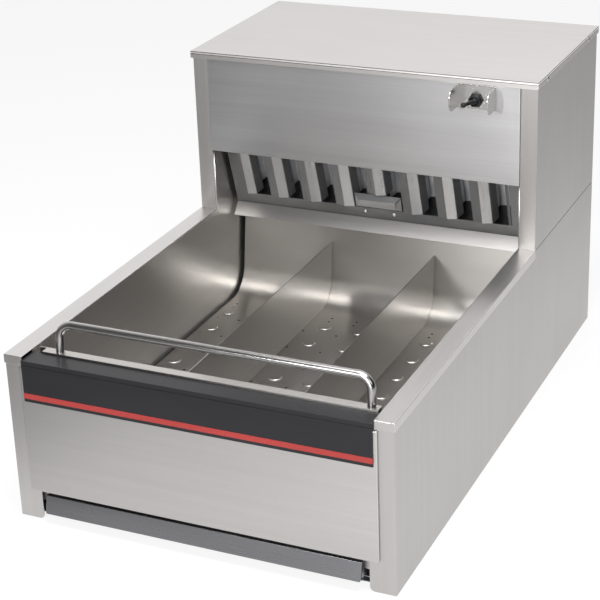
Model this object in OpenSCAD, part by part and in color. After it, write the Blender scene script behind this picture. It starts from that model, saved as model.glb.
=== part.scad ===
// Countertop chip warmer: an open steel food pan with dividers at the front, and a hood at
// the back that holds a blower, a baffle filter and the switch. Warm air goes down a duct
// behind the pan, under its louvred floor and up through the food to the filter.
// X is across the front, Y runs from the front to the rear, Z is up from the counter.

/* [Overall size] */
// Width across the outside of the two side panels
body_w = 460; // [400:1:620]
// Depth from the front legs to the rear panel
body_d = 740; // [700:1:900]
// Height of the deck beside the food pan
deck_h = 204; // [190:1:260]
// Height of the hood above the deck
hood_h = 216; // [201:1:336]
// Depth of the hood from its front posts to the rear panel
hood_d = 264; // [255:1:330]

/* [Sheet metal] */
// Thickness of the outer panels and the liner
sheet_t = 1.2; // [0.8:0.1:2]
// Thickness of the light inner sheet work
thin_t = 1; // [0.8:0.1:1.5]
// Width of the front leg that each side panel is folded into
leg_w = 30; // [20:1:40]
// Width of the deck strip on each side of the pan
deck_w = 22; // [18:1:34]
// Height of the turned down lip on the deck caps
cap_lip_h = 10.5; // [6:0.5:14]
// Height of the turned down lip on the hood cover
cover_lip_h = 9; // [6:0.5:12]
// Width of the inward flanges at the foot and rear of the panels
flange_w = 15; // [10:1:20]

/* [Food pan] */
// Height of the pan floor above the counter
floor_h = 64; // [56:1:76]
// Radius of the big bend between floor and back wall
back_bend_r = 40; // [25:1:50]
// Radius of the bend between floor and front wall
front_bend_r = 16; // [8:1:24]
// Backward lean of the pan's back wall in degrees
back_lean = 8; // [0:0.5:12]
// Gap between the pan's side edge and the liner wall
pan_side_gap = 4; // [2:0.5:6]
// Width of the flange along the pan's front edge
pan_lip_w = 10; // [9:0.5:12]
// Diameter of one floor louvre
louvre_d = 18; // [12:1:20]
// Height of one floor louvre above the floor
louvre_rise = 1.6; // [1.2:0.1:2]
// Spacing of the louvres across the pan
louvre_pitch_x = 47; // [40:1:60]
// Spacing of the louvres from front to back
louvre_pitch_y = 52; // [44:1:70]
// Diameter of the small round holes between the louvres
vent_hole_d = 3; // [2:0.5:4]
// Spacing of the pairs of small holes behind the last louvres
pair_pitch = 35.2; // [24:0.2:60]

/* [Dividers] */
// Distance of each divider from the middle of the pan
divider_x = 73; // [50:1:100]
// Height of the dividers above the pan floor
divider_h = 85; // [60:1:100]

/* [Guard rail] */
// Diameter of the bent rod
rail_d = 9.5; // [8:0.5:12]
// Height of the rod's middle line above the deck
rail_h = 32; // [25:0.5:45]
// Backward lean of the rail in degrees
rail_lean = 6; // [0:1:10]
// Distance between the two feet
rail_span = 370; // [280:1:375]
// Sideways place of the rail's middle
rail_shift = 10; // [0:0.5:10]
// Bend radius of the rod's middle line
rail_bend_r = 16; // [10:1:20]

/* [Front] */
// Height of the front panel's lower edge
panel_foot = 37; // [36:0.5:42]
// Height of the black fascia
fascia_h = 50; // [36:1:60]
// Height of the coloured stripe on the fascia
stripe_h = 6.5; // [4:0.5:10]

/* [Crumb tray] */
// Height of the tray's side walls
tray_wall_h = 13; // [8:0.5:13]
// Depth of the tray from front to back
tray_d = 500; // [380:1:560]
// Reach of the flared pull in front of the legs
pull_reach = 7.5; // [6:0.5:14]

/* [Filter] */
// Height of the baffle filter along its slope
filter_h = 140; // [120:1:145]
// Thickness of the baffle filter
filter_t = 40; // [30:1:45]
// Forward lean of the filter in degrees
filter_lean = 17.2; // [10:0.2:20]
// Width of the filter frame's face
frame_face = 19; // [14:0.5:22]
// Spacing of the baffles
baffle_pitch = 47.4; // [40:0.2:50]
// Sideways place of the baffles and the handle in the frame
baffle_shift = 4; // [0:0.5:5]
// Lift needed to take the filter out of its seat
filter_lift = 12; // [8:0.5:14]

/* [Blower] */
// Diameter of the blower wheel
wheel_d = 104; // [90:1:110]
// Width of the blower wheel
wheel_w = 56; // [40:1:64]
// Number of blades on the wheel
blade_count = 28; // [20:1:32]
// Diameter of the blower motor
motor_d = 84; // [70:1:90]

/* [Switch] */
// Distance of the switch from the middle of the hood
switch_x = 154; // [90:1:160]
// Tilt of the switch lever to each side in degrees
lever_tilt = 22; // [12:0.5:22]
// Spacing of the two ears that guard the switch
guard_w = 49; // [44:1:56]
// Reach of the guard ears in front of the hood
guard_reach = 31; // [24:1:36]

/* [Hidden] */
$fn = 48;

steel = [0.80, 0.79, 0.77];
liner_steel = [0.66, 0.65, 0.62];
dark_steel = [0.50, 0.51, 0.53];
galvanised = [0.60, 0.63, 0.64];
black = [0.08, 0.08, 0.09];
red = [0.75, 0.16, 0.13];
rubber = [0.05, 0.05, 0.05];
bakelite = [0.22, 0.17, 0.14];
brass = [0.78, 0.65, 0.35];
fine = 0.01;
fit_gap = 0.3;
touch_gap = 0.2;

// Middle of the overall depth is the origin, from the pull's tip to the gland's end
gland_reach = 14;
front_y = -(body_d + gland_reach - pull_reach) / 2;

total_h = deck_h + hood_h;
half_w = body_w / 2;
bin_half = half_w - deck_w;
wall_outer = bin_half + sheet_t;
cap_under = deck_h - sheet_t;
hood_front = body_d - hood_d;
cover_under = total_h - sheet_t;

// Front face
panel_proud = 2.5;
panel_corner_r = 3;
leg_corner_r = 6;
panel_half = half_w - 18;
panel_top = deck_h - cap_lip_h - 1.5;
fascia_t = 1.5;
fascia_top = deck_h - 3;
fascia_back = 20;
fascia_half = bin_half - 0.4;
stripe_base = fascia_top - fascia_h + 4;
stripe_t = 0.4;
groove_drop = 5;
groove_h = 1;
groove_deep = 0.5;

// Food pan
pan_t = sheet_t;
pan_half = bin_half - pan_side_gap;
lip_front = fascia_back + 1;
pan_front = lip_front + pan_lip_w + pan_t;
lip_top = deck_h - 1;
lip_drop = 6;
lip_left_cut = 9;
back_wall_ref_y = hood_front + 65;
back_wall_ref_z = floor_h + 36;
louvre_rows = floor((back_wall_ref_y - 45 - 92) / louvre_pitch_y) + 1;
louvre_back_y = hood_front - 20;
louvre_cols = floor((pan_half - louvre_d / 2 - 3) / louvre_pitch_x);
louvre_wall = 0.7;
louvre_mouth = 10;
vent_ahead = 18;
edge_hole_in = 8;
pair_shift = 3.1;
pair_y = [hood_front - 1, hood_front + 10];
pairs_each_side = floor((pan_half - vent_hole_d - pair_shift) / pair_pitch + 0.5);

// Filter seat, filter and the channel above it
filter_half = bin_half - 4;
filter_y = hood_front + 55.9;
filter_z = deck_h - 10;
seat_gap = 0.3;
seat_slack = 1.5;
drip_w = 19.8;
drip_slope = 49;
channel_gap = 0.8;
window_half = filter_half - frame_face;

// Blower, duct and shelf
deck_z = filter_z + 13;
rear_in = body_d - sheet_t;
wheel_y = rear_in - 93.8;
wheel_z = deck_z + 83;
scroll_r = wheel_d / 2 + 10;
scroll_grow = 24;
scroll_sides = 54;
scroll_w = wheel_w + 12;
shaft_d = 8;
bearing_gap = 0.05;
duct_front = wheel_y - 45;
duct_back = rear_in - 5.8;
duct_half = 120;
duct_foot = 36;
element_d = 8;
element_r = 30;
element_y = (duct_front + duct_back) / 2;
shelf_back = hood_front + 84;

// Crumb tray
tray_floor = 8;
tray_half = half_w - 40;
pull_half = half_w - 37.5;
rail_foot = 22;
tray_back = tray_d;
pull_foot = 12;
pull_corner_r = 5;

// Switch
switch_z = total_h - 28.5;
access_front = hood_front - 2;
access_foot = deck_h + 83;
guard_t = 1.2;
guard_face = access_front - guard_t;
pivot_y = guard_face - 5;
lever_len = 23.2;
guard_corner_r = 11;

// Cord gland
gland_x = half_w - 70;
gland_z = 60;
gland_bore_r = 5;

// World place of a point given by depth and height in the leaning filter's own frame
function in_filter(w, v) = [
    filter_y + w * cos(filter_lean) - v * sin(filter_lean),
    filter_z + w * sin(filter_lean) + v * cos(filter_lean)
];
shelf_z = in_filter(filter_t + channel_gap + 1, filter_h + filter_lift + 2.5)[1] + sheet_t + fit_gap;

// Inner face of the pan's back wall at a height
function back_y(z) = back_wall_ref_y + (z - back_wall_ref_z) * tan(back_lean);
seat_under_y = back_y(filter_z + 4);
pan_back_top = filter_z + (seat_under_y - filter_y) * tan(filter_lean)
    - (seat_gap + sheet_t) / cos(filter_lean) - fit_gap;

// Moves a piece drawn from the front face into the shared frame
module from_front() {
    translate([0, front_y, 0]) children();
}

// Extrudes a side view, drawn as depth and height, across the warmer
module across(x0, x1) {
    translate([x0, 0, 0]) rotate([90, 0, 90]) linear_extrude(x1 - x0) children();
}

module box(lo, hi) {
    translate(lo) cube(hi - lo);
}

// Draws a folded sheet of thickness t along the middle line of its section
module folded(path, t) {
    for (i = [0 : len(path) - 2]) {
        step = path[i + 1] - path[i];
        translate(path[i]) rotate(atan2(step[1], step[0]))
            translate([0, -t / 2]) square([norm(step), t]);
    }
    for (i = [1 : len(path) - 2]) translate(path[i]) circle(d = t, $fn = 24);
}

// Puts a right hand piece on the right (side 1) or, mirrored, on the left (side -1)
module mirrored(side) {
    if (side > 0) children();
    else mirror([1, 0, 0]) children();
}

// Extrudes a front view, drawn as width and height, from depth y0 to y1
module along(y0, y1) {
    translate([0, y1, 0]) rotate([90, 0, 0]) linear_extrude(y1 - y0) children();
}

// Rectangle from lo to hi with its two lower corners rounded
module low_rounded(lo, hi, r) {
    translate([lo[0] + r, lo[1]]) square([hi[0] - lo[0] - 2 * r, hi[1] - lo[1]]);
    translate([lo[0], lo[1] + r]) square([hi[0] - lo[0], hi[1] - lo[1] - r]);
    for (x = [lo[0] + r, hi[0] - r]) translate([x, lo[1] + r]) circle(r = r);
}

// Side panels, drawn on the right and mirrored for the left
module side_panel() {
    in_x = half_w - sheet_t;
    leg_top = fascia_top - fascia_t - touch_gap;
    difference() {
        union() {
            box([in_x, 0, 0], [half_w, body_d, cap_under]);
            along(0, sheet_t) intersection() {
                low_rounded([half_w - leg_w, 0], [half_w + leg_w, leg_top], leg_corner_r);
                square([in_x + fine, leg_top]);
            }
            box([half_w - flange_w, sheet_t, 0], [in_x + fine, body_d - sheet_t - 1.4, sheet_t]);
            box([half_w - flange_w, body_d - 2 * sheet_t - touch_gap, 0],
                [in_x + fine, body_d - sheet_t - touch_gap, cap_under]);
        }
        for (z = body_screw_z()) rear_screw_hole(half_w - 8, z);
    }
}
module left_side_panel() {
    color(steel) from_front() mirrored(-1) side_panel();
}
module right_side_panel() {
    color(steel) from_front() mirrored(1) side_panel();
}

// Deck caps: top strip with a lip over the side panel and over the front leg
module deck_cap() {
    outer = half_w + sheet_t;
    end_y = hood_front - touch_gap;
    box([bin_half, -sheet_t, cap_under], [outer, end_y, deck_h]);
    box([half_w, -sheet_t, deck_h - cap_lip_h], [outer, end_y, cap_under + fine]);
    box([bin_half, -sheet_t, deck_h - cap_lip_h], [half_w + fine, 0, cap_under + fine]);
}
module left_deck_cap() {
    color(steel) from_front() mirrored(-1) deck_cap();
}
module right_deck_cap() {
    color(steel) from_front() mirrored(1) deck_cap();
}

// Shallow base between the side panels, resting on their foot flanges
module base_pan() {
    in_x = half_w - sheet_t - touch_gap;
    back = body_d - 2 * sheet_t - 2 * touch_gap;
    color(galvanised) from_front() {
        box([-in_x, 12, sheet_t], [in_x, back, 2 * sheet_t]);
        for (side = [-1, 1]) mirrored(side)
            box([in_x - sheet_t, 12, 2 * sheet_t - fine], [in_x, back, 15]);
        box([-in_x, back - sheet_t, 2 * sheet_t - fine], [in_x, back, 15]);
    }
}

module front_cross_rail() {
    in_x = half_w - sheet_t - touch_gap;
    y0 = 6;
    color(steel) from_front() {
        box([-in_x, y0, rail_foot], [in_x, y0 + sheet_t, floor_h - 4]);
        box([-in_x, y0, rail_foot], [in_x, y0 + 14, rail_foot + sheet_t]);
    }
}

// Front panel: a flat face with folded edges that stand on the leg fronts
module front_panel() {
    t = sheet_t;
    color(steel) from_front() difference() {
        along(-panel_proud, 0)
            low_rounded([-panel_half, panel_foot], [panel_half, panel_top], panel_corner_r);
        along(-panel_proud + t, t)
            low_rounded([-panel_half + t, panel_foot + t], [panel_half - t, panel_top - t], panel_corner_r - t);
    }
}

// Black fascia: a front strip over the panel's top, folded back to the pan's lip
module fascia() {
    face = -panel_proud - fascia_t;
    color(black) from_front() difference() {
        union() {
            box([-fascia_half, face, fascia_top - fascia_h], [fascia_half, -panel_proud, fascia_top]);
            box([-fascia_half, face, fascia_top - fascia_t], [fascia_half, fascia_back, fascia_top]);
        }
        box([-half_w, face - 1, fascia_top - groove_drop - groove_h],
            [half_w, face + groove_deep, fascia_top - groove_drop]);
    }
}
module fascia_stripe() {
    face = -panel_proud - fascia_t;
    color(red) from_front()
        box([-fascia_half, face - stripe_t, stripe_base], [fascia_half, face, stripe_base + stripe_h]);
}

// Guard rail: one bent rod on two threaded feet
rail_y = lip_front + 5.6;
rail_left = rail_shift - rail_span / 2;
rail_right = rail_shift + rail_span / 2;
rail_z = deck_h + rail_h;
rail_stud_r = 2.5;
rail_nut_h = 4;
module guard_rail() {
    rise = (rail_z - lip_top) / cos(rail_lean);
    color(steel) from_front() {
        difference() {
            translate([0, rail_y, lip_top]) rotate([-rail_lean, 0, 0]) {
                for (side = [0, 1]) {
                    foot_x = side == 0 ? rail_left : rail_right;
                    inward = side == 0 ? 1 : -1;
                    translate([foot_x, 0, -1]) cylinder(d = rail_d, h = 1 + rise - rail_bend_r);
                    translate([foot_x + inward * rail_bend_r, 0, rise - rail_bend_r])
                        rotate([90, 0, 0]) rotate([0, 0, side == 0 ? 90 : 0])
                            rotate_extrude(angle = 90) translate([rail_bend_r, 0]) circle(d = rail_d);
                }
                translate([rail_left + rail_bend_r, 0, rise]) rotate([0, 90, 0])
                    cylinder(d = rail_d, h = rail_span - 2 * rail_bend_r);
            }
            box([-half_w, 0, lip_top - 10], [half_w, 60, lip_top]);
        }
        for (x = [rail_left, rail_right]) translate([x, rail_y, lip_top - pan_t - rail_nut_h - 2])
            cylinder(r = rail_stud_r, h = pan_t + rail_nut_h + 2 + fine);
    }
}
module guard_rail_nuts() {
    color(dark_steel) from_front()
        for (x = [rail_left, rail_right]) translate([x, rail_y, lip_top - pan_t - rail_nut_h])
            difference() {
                cylinder(r = 4, h = rail_nut_h, $fn = 6);
                translate([0, 0, -1]) cylinder(r = rail_stud_r + bearing_gap, h = rail_nut_h + 2);
            }
}

// Liner walls: each runs from the plenum to the deck, and on up inside the hood
module bin_wall() {
    y0 = 22;
    y_hood = hood_front + 1.6;
    y_end = rear_in - sheet_t - 2 * touch_gap;
    foot = rail_foot + 2;
    head = cover_under - cover_lip_h + 6;
    across(bin_half, wall_outer) polygon([
        [y0, foot], [y_end, foot], [y_end, head], [y_hood, head], [y_hood, cap_under], [y0, cap_under]
    ]);
}
module left_bin_wall() {
    color(liner_steel) from_front() mirrored(-1) bin_wall();
}
module right_bin_wall() {
    color(liner_steel) from_front() mirrored(1) bin_wall();
}

// Side view of the space inside the pan, grown by g all round
module pan_space(g, top) {
    zf = floor_h - g;
    rf = front_bend_r + g;
    rb = back_bend_r + g;
    yf = pan_front - g;
    out = g / cos(back_lean);
    yb = back_y(zf) + out;
    tan_len = rb * tan((90 - back_lean) / 2);
    centre = [yb - tan_len, zf + rb];
    wall_pt = [yb + tan_len * sin(back_lean), zf + tan_len * cos(back_lean)];
    difference() {
        polygon([[yf, zf], [yb, zf], [back_y(top) + out, top], [yf, top]]);
        difference() {
            polygon([[yb - tan_len, zf - 1], [yb + 1, zf - 1], wall_pt + [1, 0], wall_pt, centre,
                [yb - tan_len, zf]]);
            translate(centre) circle(r = rb, $fn = 96);
        }
        difference() {
            translate([yf - 1, zf - 1]) square(rf + 1);
            translate([yf + rf, zf + rf]) circle(r = rf, $fn = 96);
        }
    }
}

function louvre_x(i) = i * louvre_pitch_x;
function louvre_y(k) = louvre_back_y - k * louvre_pitch_y;

module louvre_cap() {
    cylinder(d = louvre_d, h = louvre_rise, $fn = 32);
}
module louvre_hollow() {
    r = louvre_d / 2;
    translate([0, 0, -pan_t - 1]) cylinder(r = r - louvre_wall, h = pan_t + 1 + louvre_rise - louvre_wall, $fn = 32);
    translate([-r - 1, -louvre_mouth / 2, 0]) cube([r, louvre_mouth, louvre_rise - louvre_wall]);
}

module vent_hole(x, y) {
    translate([x, y, floor_h - pan_t - 1]) cylinder(d = vent_hole_d, h = pan_t + 2, $fn = 16);
}

// Food pan: one curved sheet with a louvred and pierced floor
module food_pan() {
    lip_under = lip_top - pan_t;
    color(liner_steel) from_front() difference() {
        union() {
            across(-pan_half, pan_half) difference() {
                pan_space(pan_t, lip_top);
                pan_space(0, lip_top + 1);
                translate([(pan_front + hood_front) / 2, pan_back_top]) square([body_d, body_d]);
            }
            box([-pan_half + lip_left_cut, lip_front, lip_under], [pan_half, pan_front - fine, lip_top]);
            box([-pan_half + lip_left_cut, lip_front, lip_top - lip_drop],
                [pan_half, lip_front + pan_t, lip_top - fine]);
            for (k = [0 : louvre_rows - 1], i = [-louvre_cols : louvre_cols])
                translate([louvre_x(i), louvre_y(k), floor_h - fine]) louvre_cap();
        }
        for (k = [0 : louvre_rows - 1]) {
            for (i = [-louvre_cols : louvre_cols])
                translate([louvre_x(i), louvre_y(k), floor_h]) louvre_hollow();
            for (i = [-louvre_cols : louvre_cols - 1])
                vent_hole(louvre_x(i + 0.5), louvre_y(k) - vent_ahead);
            for (side = [-1, 1])
                vent_hole(side * (pan_half - edge_hole_in), louvre_y(k) - vent_ahead);
        }
        for (i = [-pairs_each_side : pairs_each_side - 1], y = pair_y)
            vent_hole(pair_shift + (i + 0.5) * pair_pitch, y);
        for (x = [rail_left, rail_right]) translate([x, rail_y, lip_under - 1])
            cylinder(r = rail_stud_r + bearing_gap, h = pan_t + 2);
    }
}

// Angles that carry the pan's floor along each liner wall
module pan_rail() {
    top = floor_h - pan_t;
    box([bin_half - 14, pan_front + front_bend_r, top - sheet_t], [bin_half, hood_front + 20, top]);
    box([bin_half - sheet_t, pan_front + front_bend_r, top - 14], [bin_half, hood_front + 20, top - fine]);
}
module left_pan_rail() {
    color(galvanised) from_front() mirrored(-1) pan_rail();
}
module right_pan_rail() {
    color(galvanised) from_front() mirrored(1) pan_rail();
}

// Divider: a flat sheet that follows the pan's bends, notched where it stands over a louvre
divider_gap = 0.8;
notch_r = louvre_d / 2 + divider_gap;
module divider() {
    difference() {
        across(divider_x - sheet_t / 2, divider_x + sheet_t / 2) intersection() {
            pan_space(-divider_gap, deck_h);
            translate([0, floor_h]) square([body_d, divider_h]);
        }
        for (k = [0 : louvre_rows - 1], i = [0 : louvre_cols])
            if (abs(louvre_x(i) - divider_x) < notch_r + sheet_t / 2)
                translate([louvre_x(i), louvre_y(k), floor_h - 1])
                    cylinder(r = notch_r, h = 1 + louvre_rise + 2 * divider_gap, $fn = 32);
    }
}
module left_divider() {
    color(liner_steel) from_front() translate([0, 0, fit_gap - divider_gap]) mirrored(-1) divider();
}
module right_divider() {
    color(liner_steel) from_front() translate([0, 0, fit_gap - divider_gap]) mirrored(1) divider();
}

// Drip ledge: a sloping strip that drains into the pan, folded into the filter's seat
module drip_ledge() {
    front_w = -seat_gap - sheet_t / 2;
    seat_v = -seat_gap - sheet_t / 2;
    back_w = filter_t + seat_slack + sheet_t / 2;
    crest = in_filter(front_w, 2.6);
    tip = crest - drip_w * [cos(drip_slope), sin(drip_slope)];
    color(steel) from_front() across(-filter_half, filter_half)
        folded([tip, crest, in_filter(front_w, seat_v), in_filter(back_w, seat_v), in_filter(back_w, 8)],
            sheet_t);
}

// Crumb tray with a flared pull across its front
module crumb_tray() {
    t = sheet_t;
    front = 3;
    top = panel_foot - 3.2;
    tip_y = -pull_reach;
    color(steel) from_front() {
        box([-tray_half, front, tray_floor], [tray_half, tray_back, tray_floor + t]);
        for (side = [-1, 1]) mirrored(side)
            box([tray_half - t, front + t, tray_floor], [tray_half, tray_back, tray_floor + tray_wall_h]);
        box([-tray_half, tray_back - t, tray_floor], [tray_half, tray_back, tray_floor + tray_wall_h]);
        intersection() {
            across(-pull_half, pull_half)
                folded([[front + t / 2, tray_floor], [front + t / 2, top - t / 2], [-2, top - t / 2],
                    [tip_y + t / 2, pull_foot + t / 2]], t);
            along(tip_y - 1, front + t + 1)
                low_rounded([-pull_half, pull_foot - 1], [pull_half, top + 1], pull_corner_r);
        }
    }
}

module tray_runner() {
    top = tray_floor - fit_gap;
    y1 = tray_back + 20;
    box([tray_half - 12, 14, top - sheet_t], [tray_half + 8, y1, top]);
    box([tray_half + 8 - sheet_t, 14, 2 * sheet_t], [tray_half + 8, y1, rail_foot - 1]);
}
module left_tray_runner() {
    color(galvanised) from_front() mirrored(-1) tray_runner();
}
module right_tray_runner() {
    color(galvanised) from_front() mirrored(1) tray_runner();
}

// Hood sides: outer sheet, front post and rear flange
post_w = deck_w - sheet_t - touch_gap;
module hood_side() {
    in_x = half_w - sheet_t;
    post_x = half_w - post_w;
    foot = deck_h - 0.4;
    head = cover_under - touch_gap;
    difference() {
        union() {
            box([in_x, hood_front, foot], [half_w, body_d, head]);
            box([post_x, hood_front, foot], [in_x + fine, hood_front + sheet_t, head]);
            box([post_x, hood_front, foot], [post_x + sheet_t - touch_gap, hood_front + 12, head]);
            box([half_w - flange_w, body_d - 2 * sheet_t - touch_gap, foot],
                [in_x + fine, body_d - sheet_t - touch_gap, head]);
        }
        for (z = hood_screw_z()) rear_screw_hole(half_w - 8, z);
        for (y = cover_screw_y()) cover_screw_hole(y);
    }
}
module hood_left_side() {
    color(steel) from_front() mirrored(-1) hood_side();
}
module hood_right_side() {
    color(steel) from_front() mirrored(1) hood_side();
}

// Hood cover: a flat lid with a lip all round
cover_gap = 0.6;
module hood_cover() {
    x1 = half_w + cover_gap + sheet_t;
    y0 = access_front - 0.8 - sheet_t;
    y1 = body_d + cover_gap + sheet_t;
    foot = total_h - cover_lip_h;
    color(steel) from_front() difference() {
        box([-x1, y0, foot], [x1, y1, total_h]);
        box([-x1 + sheet_t, y0 + sheet_t, foot - 1], [x1 - sheet_t, y1 - sheet_t, cover_under]);
        for (y = cover_screw_y(), side = [-1, 1]) mirrored(side) cover_screw_hole(y);
    }
}

// Screws: a domed head on a plain shank
screw_r = 2;
screw_head_r = 3.6;
screw_head_h = 2;
function cover_screw_y() = [hood_front + 33, body_d - 49];
function body_screw_z() = [deck_h * 0.15, deck_h * 0.5, deck_h * 0.87];
function hood_screw_z() = [deck_h + 22, total_h - 30];
cover_screw_z = total_h - 5;
module screw(shank) {
    translate([0, 0, -shank]) cylinder(r = screw_r, h = shank + fine, $fn = 24);
    intersection() {
        cylinder(r = screw_head_r, h = screw_head_h, $fn = 32);
        translate([0, 0, screw_head_h - 5]) sphere(r = 5, $fn = 48);
    }
}
module cover_screw_hole(y) {
    translate([half_w, y, cover_screw_z]) rotate([0, 90, 0])
        cylinder(r = screw_r + bearing_gap, h = 12, center = true, $fn = 24);
}
module rear_screw_hole(x, z) {
    translate([x, body_d, z]) rotate([90, 0, 0])
        cylinder(r = screw_r + bearing_gap, h = 12, center = true, $fn = 24);
}
module cover_screws() {
    face = half_w + cover_gap + sheet_t;
    color(dark_steel) from_front()
        for (side = [-1, 1], y = cover_screw_y()) mirrored(side)
            translate([face, y, cover_screw_z]) rotate([0, 90, 0]) screw(6);
}
module rear_screws() {
    color(dark_steel) from_front()
        for (side = [-1, 1]) mirrored(side)
            for (z = concat(body_screw_z(), hood_screw_z()))
                translate([half_w - 8, body_d, z]) rotate([-90, 0, 0]) screw(7);
}

// Front access panel of the hood, with the opening for the switch
module access_panel() {
    x1 = bin_half + 1;
    top = total_h - cover_lip_h - 0.5;
    color(steel) from_front() difference() {
        union() {
            box([-x1, access_front, access_foot], [x1, access_front + sheet_t, top]);
            box([-x1 + 2, access_front + fine, access_foot],
                [x1 - 2, access_front + 13, access_foot + sheet_t]);
            box([-x1 + 2, access_front + fine, top - sheet_t], [x1 - 2, hood_front + 1.4, top]);
        }
        bushing_hole();
    }
}

module body_rear_panel() {
    in_x = half_w - sheet_t - touch_gap;
    color(steel) from_front() difference() {
        box([-in_x, rear_in, 3], [in_x, body_d, cap_under]);
        for (side = [-1, 1], z = body_screw_z()) mirrored(side) rear_screw_hole(half_w - 8, z);
        translate([gland_x, body_d, gland_z]) rotate([90, 0, 0])
            cylinder(r = gland_bore_r + 3 + bearing_gap, h = 12, center = true);
    }
}
vent_slots = 6;
module hood_rear_panel() {
    in_x = half_w - sheet_t - touch_gap;
    color(steel) from_front() difference() {
        box([-in_x, rear_in, deck_h - 0.4], [in_x, body_d, cover_under - touch_gap]);
        for (side = [-1, 1], z = hood_screw_z()) mirrored(side) rear_screw_hole(half_w - 8, z);
        for (side = [-1, 1], i = [0 : vent_slots - 1])
            box([side * 90 - 40, rear_in - 2, total_h - 80 + i * 9],
                [side * 90 + 40, body_d + 2, total_h - 77 + i * 9]);
    }
}

// Places a piece drawn in the filter's own frame: depth, then height along the slope
module at_filter() {
    translate([0, filter_y, filter_z]) rotate([filter_lean, 0, 0]) children();
}

weep_pitch = 88.7;
weep_shift = -3;
weep_r = 3;
module filter_frame() {
    t = thin_t;
    color(dark_steel) from_front() at_filter() difference() {
        box([-filter_half, 0, 0], [filter_half, filter_t, filter_h]);
        box([-filter_half + t, t, t], [filter_half - t, filter_t - t, filter_h - t]);
        box([-window_half, -1, frame_face], [window_half, filter_t + 1, filter_h - frame_face]);
        for (i = [0 : 3]) translate([weep_shift + (i - 1.5) * weep_pitch, 0, 0.5]) rotate([90, 0, 0])
            cylinder(r = weep_r, h = 4 * t, center = true, $fn = 24);
        rivet_holes();
    }
}

// One baffle section, drawn as width and depth, opening to the back
baffle_t = 0.8;
baffle_half = 17;
baffle_crown = 2.5;
module baffle_section(first, last) {
    all = [[-baffle_half, 14], [-13, 0.5], [0, -baffle_crown], [13, 0.5], [baffle_half, 14]];
    folded([for (i = [first : last]) all[i]], baffle_t);
}
module baffle_row(xs, first, last, cut = 0) {
    v0 = frame_face + fit_gap + cut;
    v1 = filter_h - frame_face - fit_gap;
    for (x = xs) translate([x, 0, v0]) linear_extrude(v1 - v0) baffle_section(first, last);
}
full_each_side = floor((window_half - baffle_half - baffle_shift - 1) / baffle_pitch);
module filter_front_baffles() {
    last_x = (full_each_side + 1) * baffle_pitch;
    color(dark_steel) from_front() at_filter() {
        translate([baffle_shift, 0, 0]) {
            for (i = [-full_each_side : full_each_side]) if (i != 0) baffle_row([i * baffle_pitch], 0, 4);
            baffle_row([0], 0, 4, handle_top - frame_face + 3);
        }
        for (side = [-1, 1]) intersection() {
            translate([side * last_x + baffle_shift, 0, 0]) mirrored(side) baffle_row([0], 0, 2);
            box([-window_half + fit_gap, -10, 0], [window_half - fit_gap, filter_t, filter_h]);
        }
    }
}
module filter_rear_baffles() {
    count = floor((window_half - baffle_half) / baffle_pitch + 0.5);
    color(dark_steel) from_front() at_filter() intersection() {
        translate([baffle_shift, filter_t - thin_t, 0]) mirror([0, 1, 0])
            baffle_row([for (i = [-count : count - 1]) (i + 0.5) * baffle_pitch], 0, 4);
        box([-window_half + fit_gap, 0, 0], [window_half - fit_gap, filter_t + 10, filter_h]);
    }
}

// Filter handle: a tab riveted behind the frame's face, hooked forward and down for the fingers
handle_rivet_v = 12.5;
handle_rivet_x = 20;
handle_half = 32;
handle_top = 40;
module rivet_holes() {
    for (side = [-1, 1]) translate([baffle_shift + side * handle_rivet_x, 0, handle_rivet_v])
        rotate([90, 0, 0]) cylinder(r = 1.6, h = 8, center = true, $fn = 24);
}
module filter_handle() {
    w = thin_t + sheet_t / 2;
    path = [[w, 6], [w, handle_top], [-5, handle_top - 5], [-5, handle_top - 14]];
    lip_half = handle_half - 5.5;
    color(steel) from_front() at_filter() difference() {
        translate([baffle_shift, 0, 0]) across(-handle_half, handle_half) folded(path, sheet_t);
        rivet_holes();
        for (side = [-1, 1]) translate([baffle_shift, 0, 0]) mirrored(side) linear_extrude(filter_h)
            polygon([[handle_half, thin_t - 0.2], [lip_half, -4], [lip_half - 1, -8], [handle_half + 1, -8],
                [handle_half + 1, thin_t - 0.2]]);
    }
}
module filter_rivets() {
    head = 2.8;
    dome_r = 3.2;
    color(steel) from_front() at_filter()
        for (side = [-1, 1]) translate([baffle_shift + side * handle_rivet_x, 0, handle_rivet_v])
            rotate([90, 0, 0]) {
                translate([0, 0, -sheet_t - thin_t])
                    cylinder(r = 1.55, h = sheet_t + thin_t + fine, $fn = 24);
                intersection() {
                    cylinder(r = head, h = 1.6, $fn = 24);
                    translate([0, 0, 1.6 - dome_r]) sphere(r = dome_r, $fn = 48);
                }
            }
}

// Channel that holds the filter's top edge and leaves room to lift it
module filter_top_channel() {
    w0 = -channel_gap - sheet_t;
    w1 = filter_t + channel_gap;
    v0 = filter_h - 5;
    v1 = filter_h + filter_lift + 2.5;
    color(galvanised) from_front() at_filter() {
        box([-filter_half, w0, v0], [filter_half, w0 + sheet_t, v1]);
        box([-filter_half, w1, v0], [filter_half, w1 + sheet_t, v1]);
        box([-filter_half, w0, v1 - fine], [filter_half, w1 + sheet_t, v1 + sheet_t - fine]);
    }
}

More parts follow.
